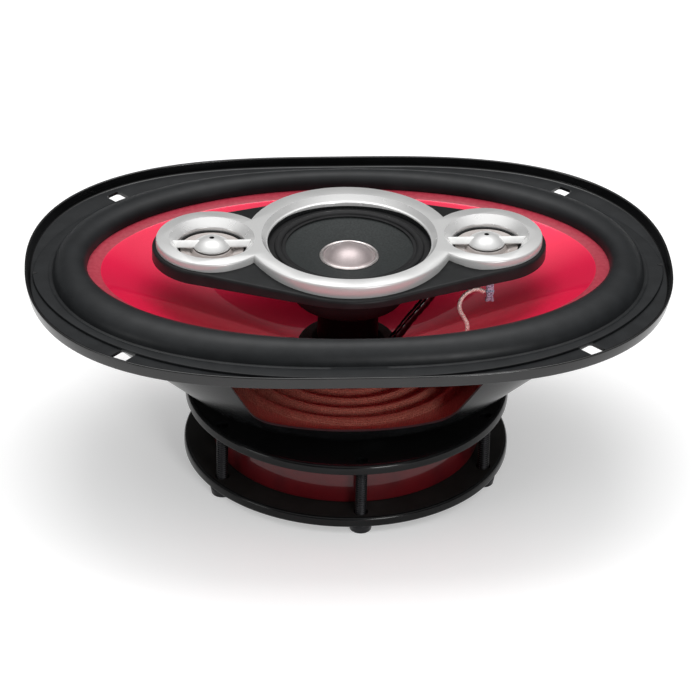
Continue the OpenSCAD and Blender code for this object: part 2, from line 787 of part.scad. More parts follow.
module tweeter_motor(side) {
    color("#6e7276")
        at_tweeter(side)
            translate([0, 0, HOUSING_BOTTOM + HOUSING_FLOOR])
                difference() {
                    cylinder(r = 11.4, h = 1.8);
                    translate([0, 0, 0.9])
                        difference() {
                            cylinder(r = 6.8, h = 2);
                            translate([0, 0, -1])
                                cylinder(r = 5.6, h = 4);
                        }
                }
}

module tweeter_clamp(side) {
    color("#1b1c1d")
        at_tweeter(side)
            ring(13.9, 12, HOUSING_BOTTOM + HOUSING_FLOOR, HOUSING_TOP - 0.1);
}

module tweeter_diaphragm(side) {
    z = HOUSING_BOTTOM + HOUSING_FLOOR + 2.5;
    color("#b5aaa5")
        at_tweeter(side)
            translate([0, 0, z])
                rotate_extrude()
                    polygon([[0, 1.15], [2.4, 0.95], [4.4, 0.45], [5.8, -0.1], [6.4, 0.1], [9.4, 0.7],
                        [11.6, 0.95], [11.6, 0.75], [9.4, 0.5], [6.4, -0.1], [5.8, -0.3], [4.4, 0.25],
                        [2.4, 0.75], [0, 0.95]]);
}

module tweeter_left_motor() { tweeter_motor(-1); }
module tweeter_left_clamp() { tweeter_clamp(-1); }
module tweeter_left_diaphragm() { tweeter_diaphragm(-1); }
module tweeter_right_motor() { tweeter_motor(1); }
module tweeter_right_clamp() { tweeter_clamp(1); }
module tweeter_right_diaphragm() { tweeter_diaphragm(1); }

// ---- pod wiring ----

module pod_terminal() {
    color("#b9bcc0")
        translate([48.4, -21.7, 0])
            cube([3.2, 2.4, HOUSING_BOTTOM]);
}

module pod_lead() {
    color("#b8735a")
        tube(smooth(POD_LEAD_ROUTE), 0.8);
}

module pod_wires() {
    color("#101010")
        for (dy = [-0.95, 0.95])
            tube(smooth([for (p = POD_WIRE_ROUTE) p + [0, dy, 0]]), 0.85);
}

basket_flange();
basket_wall_left();
basket_wall_right();
basket_floor();
basket_rivets();
top_plate();
magnet();
magnet_sleeve();
back_plate();
pole_piece();
assembly_screws();
post_bolt();
centre_post();
surround();
cone();
spider();
voice_coil_former();
voice_coil_winding();
dust_ring();
lead_eyelets();
tinsel_lead_left();
tinsel_lead_right();
terminal_board();
terminal_rivets();
terminal_blade_positive();
terminal_blade_negative();
crossover_capacitor();
pod_housing();
pod_trim();
midrange_can();
midrange_yoke();
midrange_magnet();
midrange_pole_disc();
midrange_cone();
midrange_surround();
midrange_dome();
midrange_coil();
tweeter_left_motor();
tweeter_left_clamp();
tweeter_left_diaphragm();
tweeter_right_motor();
tweeter_right_clamp();
tweeter_right_diaphragm();
pod_terminal();
pod_lead();
pod_wires();
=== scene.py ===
from math import acos, atan2, cos, hypot, pi, radians, sin, sqrt

import bmesh
import bpy
import numpy as np
from mathutils import Matrix, Vector


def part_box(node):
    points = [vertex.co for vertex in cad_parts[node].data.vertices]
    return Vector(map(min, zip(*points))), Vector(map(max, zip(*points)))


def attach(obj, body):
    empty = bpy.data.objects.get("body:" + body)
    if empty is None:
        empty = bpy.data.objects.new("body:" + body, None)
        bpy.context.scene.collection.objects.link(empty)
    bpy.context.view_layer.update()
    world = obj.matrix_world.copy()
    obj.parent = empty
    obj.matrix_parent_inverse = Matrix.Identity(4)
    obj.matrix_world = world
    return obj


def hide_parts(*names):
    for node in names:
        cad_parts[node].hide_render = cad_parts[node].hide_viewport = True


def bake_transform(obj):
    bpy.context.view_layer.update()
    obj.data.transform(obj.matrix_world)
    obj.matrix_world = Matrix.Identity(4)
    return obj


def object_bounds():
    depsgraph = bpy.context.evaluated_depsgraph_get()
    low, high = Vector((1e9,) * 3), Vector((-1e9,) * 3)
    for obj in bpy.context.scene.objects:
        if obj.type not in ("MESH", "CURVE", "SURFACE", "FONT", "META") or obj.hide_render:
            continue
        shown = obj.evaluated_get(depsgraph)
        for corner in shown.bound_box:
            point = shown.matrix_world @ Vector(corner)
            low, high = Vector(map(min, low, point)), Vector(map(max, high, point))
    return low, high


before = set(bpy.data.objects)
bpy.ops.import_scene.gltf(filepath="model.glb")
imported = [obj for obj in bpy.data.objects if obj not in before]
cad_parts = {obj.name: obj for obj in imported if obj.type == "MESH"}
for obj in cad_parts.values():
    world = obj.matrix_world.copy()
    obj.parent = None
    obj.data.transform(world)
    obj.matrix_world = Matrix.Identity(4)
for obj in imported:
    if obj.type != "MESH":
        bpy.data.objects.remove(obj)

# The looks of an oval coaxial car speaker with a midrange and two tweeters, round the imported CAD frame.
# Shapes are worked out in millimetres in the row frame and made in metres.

CAD_BOX = [[float(v) for v in corner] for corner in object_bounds()]
MM = 0.001
STEPS = 288
ANGLES = [2 * pi * k / STEPS for k in range(STEPS)]


def span(node):
    """Lowest and highest corner of a CAD node, in millimetres."""
    low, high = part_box(node)
    return [v / MM for v in low], [v / MM for v in high]


# ---- shapes ----


class Oval:
    """|x / half_x|^p + |y / half_y|^q = 1, as a radius in each direction."""

    def __init__(self, half_x, half_y, p=2.0, q=2.0):
        self.size = (half_x, half_y, p, q)

    def radius(self, angle):
        half_x, half_y, p, q = self.size
        if p == q == 2:
            return 1 / sqrt((cos(angle) / half_x) ** 2 + (sin(angle) / half_y) ** 2)
        low, high = 0.0, 200.0
        for _ in range(36):
            mid = (low + high) / 2
            out = (abs(mid * cos(angle)) / half_x) ** p + (abs(mid * sin(angle)) / half_y) ** q > 1
            low, high = (low, mid) if out else (mid, high)
        return low

    def ring(self, grow, z, angles=ANGLES):
        """Points round the oval, moved out by grow, at height z."""
        found = []
        for angle in angles:
            r = self.radius(angle) + grow
            found.append((r * cos(angle), r * sin(angle), z))
        return np.array(found)


def circle(r, z, steps=STEPS, x=0.0, y=0.0):
    turns = [2 * pi * k / steps for k in range(steps)]
    return np.array([(x + r * cos(a), y + r * sin(a), z) for a in turns])


def towards(a, b, distance):
    """Points moved from a towards b by a distance."""
    step = b - a
    length = np.linalg.norm(step, axis=1, keepdims=True)
    return a + step / np.maximum(length, 1e-9) * np.minimum(distance, 0.49 * length)


def rounded(corners, n=4, closed=True):
    """Rounds a section's corners. Each corner is (ring of points, length cut off each side)."""
    found = []
    count = len(corners)
    for i, (ring, cut) in enumerate(corners):
        if cut == 0 or (not closed and i in (0, count - 1)):
            found.append(ring)
            continue
        a = towards(ring, corners[i - 1][0], cut)
        b = towards(ring, corners[(i + 1) % count][0], cut)
        for k in range(n + 1):
            t = k / n
            found.append((1 - t) ** 2 * a + 2 * t * (1 - t) * ring + t * t * b)
    return found


def skin(rings, closed_ring=True, closed_section=True, caps=False):
    """Vertices and faces over rings of equal length."""
    n, k = len(rings[0]), len(rings)
    verts = np.concatenate(rings)
    faces = []
    for j in range(k if closed_section else k - 1):
        for i in range(n if closed_ring else n - 1):
            a, b = j * n + i, j * n + (i + 1) % n
            c, d = ((j + 1) % k) * n + i, ((j + 1) % k) * n + (i + 1) % n
            faces.append((a, b, d, c))
    if caps and closed_ring:
        faces.append(tuple(range(n)))
        faces.append(tuple((k - 1) * n + i for i in reversed(range(n))))
    if caps and not closed_ring:
        faces.append(tuple(j * n for j in range(k)))
        faces.append(tuple(j * n + n - 1 for j in reversed(range(k))))
    return verts, faces


def make(name, verts, faces, material, sharp=32):
    """A mesh object from points in millimetres, outward normals, smooth up to an angle."""
    mesh = bpy.data.meshes.new(name)
    mesh.from_pydata([tuple(float(c) * MM for c in v) for v in verts], [], faces)
    work = bmesh.new()
    work.from_mesh(mesh)
    bmesh.ops.remove_doubles(work, verts=work.verts, dist=2e-7)
    bmesh.ops.recalc_face_normals(work, faces=work.faces)
    work.to_mesh(mesh)
    work.free()
    obj = bpy.data.objects.new(name, mesh)
    bpy.context.scene.collection.objects.link(obj)
    mesh.materials.append(material)
    smooth(obj, sharp)
    return obj


def smooth(obj, sharp=32):
    obj.data.shade_smooth()
    obj.data.set_sharp_from_angle(angle=radians(sharp))


def swept(name, rings, material, sharp=32):
    return make(name, *skin(rings), material, sharp)


def lathe(name, corners, material, steps=160, x=0.0, y=0.0, sharp=32, n=4):
    """A solid of revolution from a closed section of (r, z, cut) corners."""
    loop = [(circle(max(r, 0.0), z, steps, x, y), cut) for r, z, cut in corners]
    return swept(name, rounded(loop, n), material, sharp)


def slab(name, levels, material, sharp=32):
    """A closed solid over outlines of equal length, from the lowest to the highest."""
    return make(name, *skin(levels, closed_section=False, caps=True), material, sharp)


def baked(obj):
    """Applies the object's modifiers."""
    graph = bpy.context.evaluated_depsgraph_get()
    mesh = bpy.data.meshes.new_from_object(obj.evaluated_get(graph))
    old = obj.data
    obj.modifiers.clear()
    obj.data = mesh
    bpy.data.meshes.remove(old)


def cut(obj, cutters, sharp):
    """Takes the cutters' solids out of obj and removes the cutters."""
    for cutter in cutters:
        modifier = obj.modifiers.new("cut", "BOOLEAN")
        modifier.operation = "DIFFERENCE"
        modifier.solver = "EXACT"
        modifier.object = cutter
    bpy.context.view_layer.update()
    baked(obj)
    for cutter in cutters:
        bpy.data.objects.remove(cutter)
    smooth(obj, sharp)
    return obj


def eased(obj, width):
    """Breaks the sharp edges of obj with a bevel of this width."""
    modifier = obj.modifiers.new("edge", "BEVEL")
    modifier.width = width * MM
    modifier.segments = 2
    modifier.limit_method = "ANGLE"
    modifier.angle_limit = radians(35)
    bpy.context.view_layer.update()
    baked(obj)
    smooth(obj, 60)
    return obj


def fit(obj, body, slot, *nodes):
    """obj rides on a body and stands for CAD nodes, which it hides. slot is not used."""
    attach(obj, body)
    if nodes:
        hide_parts(*nodes)


def flex(obj, mover, slot, share, *nodes):
    """Bakes obj's placement and hides its CAD nodes; share(point), the mover's part from 0 to 1, is worked
    out for each vertex and not stored.

    mover and slot are not used.
    """
    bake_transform(obj)
    weights = [min(max(share(v.co / MM), 0.0), 1.0) for v in obj.data.vertices]
    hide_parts(*nodes)


def ease(t):
    """0 to 1 with level ends."""
    t = min(max(t, 0.0), 1.0)
    return t * t * (3 - 2 * t)


def curve_through(points, k=10):
    """Catmull-Rom points through a short route."""
    p = [Vector(v) for v in points]
    found = []
    for i in range(len(p) - 1):
        a, b, c, d = p[max(i - 1, 0)], p[i], p[i + 1], p[min(i + 2, len(p) - 1)]
        for j in range(k):
            t = j / k
            found.append(0.5 * (2 * b + (c - a) * t + (2 * a - 5 * b + 4 * c - d) * t * t
                                + (3 * b - a - 3 * c + d) * t ** 3))
    return found + [p[-1]]


def tube(name, route, radius, material, sides=20, swell=None):
    """A round tube along a route; swell(distance, angle) scales its radius."""
    last = len(route) - 1
    tangents = [(route[min(i + 1, last)] - route[max(i - 1, 0)]).normalized() for i in range(last + 1)]
    side = tangents[0].cross(Vector((0.31, 1, 0.17))).normalized()
    rings, run = [], 0.0
    for i, (point, t) in enumerate(zip(route, tangents)):
        run += (point - route[i - 1]).length if i else 0.0
        side = (side - t * side.dot(t)).normalized()
        other = t.cross(side)
        ring = []
        for s in range(sides):
            angle = 2 * pi * s / sides
            r = radius * (swell(run, angle) if swell else 1)
            ring.append(point + side * (r * cos(angle)) + other * (r * sin(angle)))
        rings.append(np.array([tuple(v) for v in ring]))
    return make(name, *skin(rings, closed_section=False, caps=True), material, sharp=60)


# ---- materials ----


class Paint:
    """One procedural material, built up from noise, colour and bump nodes in object space."""

    def __init__(self, name, colour, roughness, metallic=0.0, coat=0.0, coat_roughness=0.05,
                 specular=0.5, **extra):
        self.material = bpy.data.materials.new(name)
        self.material.use_nodes = True
        self.nodes = self.material.node_tree.nodes
        self.links = self.material.node_tree.links
        self.shader = self.nodes["Principled BSDF"]
        self.place = self.nodes.new("ShaderNodeTexCoord").outputs["Object"]
        self.colour, self.height = colour, None
        self.shader.inputs["Base Color"].default_value = (*colour, 1)
        self.shader.inputs["Roughness"].default_value = roughness
        self.shader.inputs["Metallic"].default_value = metallic
        self.shader.inputs["Coat Weight"].default_value = coat
        self.shader.inputs["Coat Roughness"].default_value = coat_roughness
        self.shader.inputs["Specular IOR Level"].default_value = specular
        for socket, value in extra.items():
            self.shader.inputs[socket.replace("_", " ").title()].default_value = value

    def stretched(self, scale):
        node = self.nodes.new("ShaderNodeMapping")
        node.inputs["Scale"].default_value = scale
        self.links.new(self.place, node.inputs["Vector"])
        return node.outputs["Vector"]

    def noise(self, size, detail=3.0, stretch=(1, 1, 1)):
        """Noise whose features are about size millimetres."""
        node = self.nodes.new("ShaderNodeTexNoise")
        node.inputs["Scale"].default_value = 1 / (size * MM)
        node.inputs["Detail"].default_value = detail
        node.inputs["Roughness"].default_value = 0.55
        self.links.new(self.stretched(stretch), node.inputs["Vector"])
        return node.outputs["Fac"]

    def threads(self, pitch, axis):
        """Parallel threads with a pitch in millimetres."""
        node = self.nodes.new("ShaderNodeTexWave")
        node.bands_direction = axis
        node.inputs["Scale"].default_value = 2 * pi / (20 * pitch * MM)
        node.inputs["Distortion"].default_value = 0.6
        node.inputs["Detail Scale"].default_value = 2
        self.links.new(self.place, node.inputs["Vector"])
        return node.outputs["Fac"]

    def ramp(self, factor, low, high, first, second):
        node = self.nodes.new("ShaderNodeValToRGB")
        node.color_ramp.elements[0].position = low
        node.color_ramp.elements[1].position = high
        node.color_ramp.elements[0].color = (*first, 1)
        node.color_ramp.elements[1].color = (*second, 1)
        self.links.new(factor, node.inputs["Fac"])
        return node.outputs["Color"]

    def mottle(self, size, other, low=0.35, high=0.65, stretch=(1, 1, 1)):
        """Colour drifts between the base colour and another."""
        colour = self.ramp(self.noise(size, stretch=stretch), low, high, self.colour, other)
        self.links.new(colour, self.shader.inputs["Base Color"])
        return self

    def worn(self, size, low, high):
        """Roughness drifts between two values."""
        node = self.nodes.new("ShaderNodeMapRange")
        node.inputs["To Min"].default_value = low
        node.inputs["To Max"].default_value = high
        self.links.new(self.noise(size, 2.0), node.inputs["Value"])
        self.links.new(node.outputs["Result"], self.shader.inputs["Roughness"])
        return self

    def bump(self, factor, depth):
        """Raises the surface by depth millimetres where factor is 1."""
        node = self.nodes.new("ShaderNodeBump")
        node.inputs["Distance"].default_value = depth * MM
        node.inputs["Strength"].default_value = 1.0
        self.links.new(factor, node.inputs["Height"])
        if self.height:
            self.links.new(self.height, node.inputs["Normal"])
        self.height = node.outputs["Normal"]
        self.links.new(self.height, self.shader.inputs["Normal"])
        return self

    def cloth(self, pitch, depth):
        """Woven threads, crossing at right angles."""
        self.bump(self.threads(pitch, "X"), depth)
        return self.bump(self.threads(pitch, "Y"), depth)


def coat_black(name, colour, roughness):
    """Powder-coated steel: faint orange peel."""
    paint = Paint(name, colour, roughness, specular=0.12)
    paint.mottle(9, tuple(c * 1.35 for c in colour)).worn(6, roughness * 0.85, roughness * 1.15)
    return paint.bump(paint.noise(0.9, 2.0), 0.012).material


def gloss_black(name, roughness, specular=0.2, tint=1.0):
    """Smooth stoved enamel."""
    paint = Paint(name, (0.003, 0.0031, 0.0033), roughness, specular=specular)
    paint.shader.inputs["Specular Tint"].default_value = (tint, tint, tint, 1)
    paint.mottle(9, (0.0045, 0.0047, 0.005), 0.4, 0.6).worn(12, roughness * 0.85, roughness * 1.2)
    return paint.bump(paint.noise(9, 1.0), 0.003).material


def rubber(name, colour=(0.0125, 0.0135, 0.0145), roughness=0.42):
    paint = Paint(name, colour, roughness, specular=0.2)
    paint.mottle(7, tuple(c * 1.3 for c in colour)).worn(5, roughness * 0.85, roughness * 1.2)
    return paint.bump(paint.noise(0.35, 2.0), 0.012).material


def red_cone():
    """Moulded cone under a clear film: deep red with fine flake."""
    colour = (0.80, 0.005, 0.056)
    paint = Paint("cone_red", colour, 0.36, metallic=0.3, coat=0.5, coat_roughness=0.012, specular=0.3)
    paint.mottle(0.25, (0.88, 0.010, 0.075), 0.3, 0.7).worn(3, 0.3, 0.4)
    return paint.bump(paint.noise(30, 1.0), 0.03).material


def band_reflection_red():
    """Flat glued band along the cone's edge, in a duller, muted red: painted reflection off the flat lip."""
    paint = Paint("cone_band_painted_reflection", (0.36, 0.022, 0.045), 0.42, coat=0.5, coat_roughness=0.06, specular=0.3)
    paint.mottle(1.5, (0.42, 0.04, 0.065), 0.35, 0.65)
    return paint.bump(paint.noise(0.8, 3.0), 0.02).material


def silver():
    """Satin silver paint with fine flake."""
    colour = (0.55, 0.55, 0.545)
    paint = Paint("trim_silver", colour, 0.36, metallic=0.35, specular=0.4)
    paint.mottle(0.12, (0.62, 0.62, 0.615), 0.3, 0.7).worn(4, 0.33, 0.40)
    return paint.bump(paint.noise(0.25, 2.0), 0.003).material


def silver_cut():
    """Polished bevels inside the trim's mouths."""
    paint = Paint("trim_polished", (0.74, 0.74, 0.735), 0.26, metallic=0.45, specular=0.5)
    paint.mottle(0.12, (0.80, 0.80, 0.795), 0.3, 0.7).worn(4, 0.22, 0.3)
    return paint.bump(paint.noise(0.25, 2.0), 0.002).material


def plastic(name, colour, roughness, coat=0.0, grain=0.5, depth=0.01, specular=0.3):
    paint = Paint(name, colour, roughness, coat=coat, specular=specular)
    paint.mottle(6, tuple(min(c * 1.3, 1) for c in colour))
    paint.worn(4, roughness * 0.85, min(roughness * 1.15, 1))
    return paint.bump(paint.noise(grain, 2.0), depth).material


def metal(name, colour, roughness, grain=0.4, depth=0.004, stretch=(1, 1, 1)):
    paint = Paint(name, colour, roughness, metallic=1.0)
    paint.mottle(3, tuple(c * 0.78 for c in colour)).worn(2, roughness * 0.8, min(roughness * 1.3, 1))
    return paint.bump(paint.noise(grain, 2.0, stretch=stretch), depth).material


def felt(name, colour):
    paint = Paint(name, colour, 0.95, specular=0.2)
    paint.mottle(0.6, tuple(min(c * 2.2, 1) for c in colour), 0.3, 0.7)
    return paint.bump(paint.noise(0.3, 5.0), 0.12).material


def spider_cloth():
    """Resin-treated woven cloth, reddish brown with paler thread tops."""
    colour = (0.17, 0.040, 0.028)
    paint = Paint("spider_cloth", colour, 0.72, specular=0.35)
    paint.mottle(0.35, (0.42, 0.155, 0.105), 0.38, 0.72)
    return paint.cloth(0.62, 0.10).material


def dome_cloth():
    colour = (0.36, 0.305, 0.305)
    paint = Paint("dome_cloth", colour, 0.36, metallic=0.5, specular=0.4)
    paint.mottle(0.3, (0.44, 0.38, 0.38), 0.35, 0.7)
    return paint.cloth(0.42, 0.004).material


def paper_cone():
    colour = (0.014, 0.0165, 0.0165)
    paint = Paint("midrange_paper", colour, 0.62, specular=0.25)
    paint.mottle(0.7, (0.027, 0.031, 0.031), 0.35, 0.7)
    return paint.bump(paint.noise(0.35, 4.0), 0.05).material


def copper_braid():
    colour = (0.24, 0.17, 0.14)
    paint = Paint("copper_braid", colour, 0.4, metallic=0.2)
    paint.mottle(0.28, (0.92, 0.82, 0.76), 0.36, 0.52)
    return paint.bump(paint.noise(0.12, 2.0), 0.03).material


def enamelled_wire(name):
    """Fine turns of wire, one above the other."""
    paint = Paint(name, (0.50, 0.17, 0.055), 0.3, metallic=0.8, coat=0.6)
    paint.mottle(0.8, (0.62, 0.25, 0.09))
    return paint.bump(paint.threads(0.3, "Z"), 0.04).material


BLACK = gloss_black("basket_black", 0.2, 0.5)
PLATE = gloss_black("plate_black", 0.2)
BOWL = gloss_black("basket_gloss", 0.2, 0.35, 0.4)
PLATE_INNER = coat_black("plate_black_lower", (0.010, 0.009, 0.0085), 0.5)
FLANGE_TOP = rubber("flange_top_black", (0.0155, 0.0165, 0.0175), 0.36)
PLATE_FACE = coat_black("plate_black_upper", (0.0035, 0.0035, 0.0037), 0.5)
# Lighter grey for the windows' cut faces: painted highlight along the legs' edges.
CUT_EDGE_PAINTED_HIGHLIGHT = coat_black("basket_cut_edge_painted_highlight", (0.05, 0.053, 0.055), 0.3)
RUBBER = rubber("surround_rubber")
RED = red_cone()
RED_BAND_PAINTED_REFLECTION = band_reflection_red()
SILVER = silver()
POLISHED = silver_cut()
# Near white for the tweeter bars, which share the trim's silver: painted highlight on their lit tops.
BAR_PAINTED_HIGHLIGHT = Paint("bar_silver_painted_highlight", (0.80, 0.80, 0.79), 0.4, specular=0.4).mottle(2, (0.86, 0.86, 0.85)).material
HOUSING = plastic("housing_charcoal", (0.0115, 0.012, 0.0125), 0.42, grain=0.6, depth=0.006, specular=0.14)
MATT = plastic("matt_black", (0.010, 0.010, 0.0105), 0.62)
POST = plastic("post_black", (0.0028, 0.0036, 0.0032), 0.5, specular=0.1)
SLEEVE = Paint("sleeve_red", (0.050, 0.0026, 0.0042), 0.32, coat=0.75, coat_roughness=0.01,
               specular=0.15).mottle(12, (0.075, 0.0032, 0.005)).material
STEEL = metal("plated_steel", (0.55, 0.56, 0.58), 0.32)
BLACK_OXIDE = metal("black_oxide", (0.035, 0.035, 0.037), 0.38)
FERRITE = plastic("ferrite", (0.055, 0.055, 0.058), 0.6, grain=0.3, depth=0.02)
TIN = metal("tinned_brass", (0.72, 0.73, 0.75), 0.2)
CRIMP = Paint("crimped_tin", (0.42, 0.52, 0.66), 0.22, specular=0.7).mottle(
    0.55, (0.10, 0.13, 0.19), 0.45, 0.6).material
BRAID = copper_braid()
WIRE_SLEEVE = plastic("wire_sleeve", (0.004, 0.004, 0.0045), 0.1, coat=1.0, grain=2.0)
FELT = felt("neck_felt", (0.018, 0.019, 0.0175))
CLOTH = spider_cloth()
PAPER = paper_cone()
DOME = dome_cloth()
DOME_RIM = metal("dome_rim", (0.74, 0.68, 0.67), 0.3)
MID_RUBBER = rubber("midrange_rubber", (0.008, 0.008, 0.0085), 0.55)
PHENOLIC = plastic("phenolic_board", (0.20, 0.095, 0.03), 0.5, grain=0.4, depth=0.02)
FILM = Paint("diaphragm_film", (0.40, 0.36, 0.34), 0.25, coat=0.5, coat_roughness=0.06).mottle(
    3, (0.48, 0.43, 0.41)).material
AMBER = plastic("former_film", (0.36, 0.21, 0.08), 0.3, coat=0.5)
WINDING = enamelled_wire("coil_wire")
CERAMIC = plastic("tweeter_ceramic", (0.10, 0.102, 0.105), 0.4, grain=0.2, depth=0.008)
CAP_SLEEVE = plastic("capacitor_sleeve", (0.015, 0.018, 0.075), 0.22, coat=0.5)

# ---- driving sizes, read from the frame ----

SHEET = 1.2
flange_high = span("basket_flange")[1]
FLANGE = Oval(flange_high[0], flange_high[1], 3.08, 2.24)
LIP_TOP = flange_high[2]
landing_high = span("surround")[1]
LANDING = Oval(landing_high[0], landing_high[1], 2.42, 1.76)
LANDING_Z = SHEET + 1.0
ROLL_TOP = landing_high[2]
OPENING = Oval(108.3, 70.3, 2.4, 2.1)
cone_high = span("cone")[1]
CONE_RIM = Oval(cone_high[0], cone_high[1])
CONE_EDGE = Oval(cone_high[0] - 1.8, cone_high[1] - 1.8)
CONE_BAND = Oval(cone_high[0] - 6.8, cone_high[1] - 6.8)
CONE_EDGE_Z = cone_high[2]
NECK_R, NECK_Z = 18.0, -30.0
PLATE_LOW, PLATE_HIGH = span("top_plate")
BACK_LOW, BACK_HIGH = span("back_plate")
PLATE_R, PLATE_TOP = PLATE_HIGH[0], PLATE_HIGH[2]
SLEEVE_LOW, SLEEVE_HIGH = span("magnet_sleeve")
HOUSING_LOW, HOUSING_HIGH = span("pod_housing")
TRIM_LOW, TRIM_HIGH = span("pod_trim")
TWEETER_RING = 20.4
TWEETER_X = TRIM_HIGH[0] - TWEETER_RING
MID_RING = TRIM_HIGH[1]
PLATEAU_Z = PLATE_TOP + 8.6
WINDOW_Z = PLATEAU_Z + 1.8
RIM_Z = PLATEAU_Z - 3
RIM = Oval(61, 50.4)
WALL_T = 1.4
WINDOW_SIDE = radians(52)
SLOT_X, SLOT_Y, SLOT_LEAN, SLOT_CORNER = 83.5, 58.7, radians(48), 1.2
SCREW_CIRCLE_R, FIRST_SCREW = 55.8, -87.6
EYELETS = [(41, -30), (-9, 33), (9, 33)]


# ---- basket ----


def slot_cutters():
    """Round-cornered cutters that lean towards the flange's centre, one for each mounting slot."""
    found = []
    for sx in (-1, 1):
        for sy in (-1, 1):
            lean = SLOT_LEAN * sx * sy
            outline = []
            for qx, qy, start in ((1, 1, 0), (-1, 1, 90), (-1, -1, 180), (1, -1, 270)):
                for k in range(6):
                    a = radians(start + 18 * k)
                    outline.append((qx * 2.7 + SLOT_CORNER * cos(a), qy * 1.9 + SLOT_CORNER * sin(a)))
            turned = [(SLOT_X * sx + x * cos(lean) - y * sin(lean),
                       SLOT_Y * sy + x * sin(lean) + y * cos(lean)) for x, y in outline]
            levels = [np.array([(x, y, z) for x, y in turned]) for z in (-3.0, 9.0)]
            found.append(slab(f"slot_cutter_{sx}_{sy}", levels, CUT_EDGE_PAINTED_HIGHLIGHT))
    return found


def wall_r(angle, z):
    top, low = OPENING.radius(angle), RIM.radius(angle)
    return top + (low - top) * max((SHEET - z) / (SHEET - RIM_Z), 0.0) ** 1.1


def wall_ring(z, inset):
    return np.array([((wall_r(a, z) - inset) * cos(a), (wall_r(a, z) - inset) * sin(a), z) for a in ANGLES])


def window_cutter(side):
    """A prism through one window: sides at 52 degrees to the long axis, with rounded lower corners."""
    edge = [(wall_r(WINDOW_SIDE, z) * cos(WINDOW_SIDE), z) for z in np.linspace(WINDOW_Z + 5.5, 0.3, 14)]
    foot = wall_r(WINDOW_SIDE, WINDOW_Z) * cos(WINDOW_SIDE)
    a, corner, b = (foot - 6.5, WINDOW_Z), (foot, WINDOW_Z), edge[0]
    bend = []
    for k in range(13):
        t = k / 12
        bend.append(tuple((1 - t) ** 2 * p + 2 * t * (1 - t) * q + t * t * r
                          for p, q, r in zip(a, corner, b)))
    half = bend + edge[1:]
    outline = half + [(-x, z) for x, z in reversed(half)]
    levels = [np.array([(x, side * y, z) for x, z in outline]) for y in (30, 120)]
    return slab(f"window_cutter_{side}", levels, CUT_EDGE_PAINTED_HIGHLIGHT)


def basket():
    flange = [
        (OPENING.ring(-2, 0), 0.3), (FLANGE.ring(-2.6, 0), 0.3), (FLANGE.ring(-1.0, 0.25), 0.5),
        (FLANGE.ring(0, LIP_TOP - 0.35), 0.35), (FLANGE.ring(-0.35, LIP_TOP), 0.3),
        (FLANGE.ring(-1.1, LIP_TOP - 0.1), 0.4), (FLANGE.ring(-1.75, SHEET), 0.9),
        (OPENING.ring(-2, SHEET), 0.3)]
    plate = swept("basket_flange", rounded(flange), BLACK, 40)
    cut(plate, slot_cutters(), 40)
    plate.data.materials.append(FLANGE_TOP)
    for face in plate.data.polygons:
        if face.normal.z > 0.9 and face.center.z < 2 * MM:
            face.material_index = len(plate.data.materials) - 1
    fit(plate, "frame", "basket_flange", "basket_flange")
    z = PLATE_TOP
    heights = list(np.linspace(SHEET - 0.1, RIM_Z + 0.5, 26))
    inner = list(np.linspace(PLATEAU_Z + 0.9, SHEET - 0.1, 26))
    rings = [wall_ring(h, 0) for h in heights]
    rings += rounded([
        (wall_ring(RIM_Z + 0.5, 0), 0), (wall_ring(RIM_Z, 0), 0.3), (wall_ring(RIM_Z, SHEET), 0.3),
        (wall_ring(PLATEAU_Z - SHEET, SHEET), 0.6), (circle(43.6, PLATEAU_Z - SHEET), 0.9),
        (circle(43.0, z), 0.6), (circle(30, z), 0.2), (circle(30, z + SHEET), 0.2),
        (circle(41.4, z + SHEET), 0.9), (circle(42.4, PLATEAU_Z), 0.9), (wall_ring(PLATEAU_Z, WALL_T), 0.6),
        (wall_ring(PLATEAU_Z + 0.9, WALL_T), 0)], closed=False)[1:-1]
    rings += [wall_ring(h, WALL_T) for h in inner]
    bowl = swept("basket_bowl", rings, BOWL, 40)
    for side in (-1, 1):
        modifier = bowl.modifiers.new("window", "BOOLEAN")
        modifier.operation = "DIFFERENCE"
        modifier.solver = "EXACT"
        # The window cut faces take the cutter's lighter grey: painted highlight along the legs' edges.
        modifier.material_mode = "TRANSFER"
        modifier.object = window_cutter(side)
    bpy.context.view_layer.update()
    baked(bowl)
    for side in (-1, 1):
        bpy.data.objects.remove(bpy.data.objects[f"window_cutter_{side}"])
    smooth(bowl, 40)
    fit(bowl, "frame", "basket_floor", "basket_floor", "basket_wall_left", "basket_wall_right")
    box = [(8, 49.5), (8, 50.7), (-8, 50.7), (-8, 49.5)]
    levels = [np.array([(x, y, h) for x, y in box]) for h in (PLATEAU_Z - 0.6, PLATEAU_Z + 6.4)]
    tab = eased(slab("basket_terminal_tab", levels, BLACK), 0.3)
    fit(tab, "frame", "basket_floor", "basket_floor")


# ---- surround and cone ----


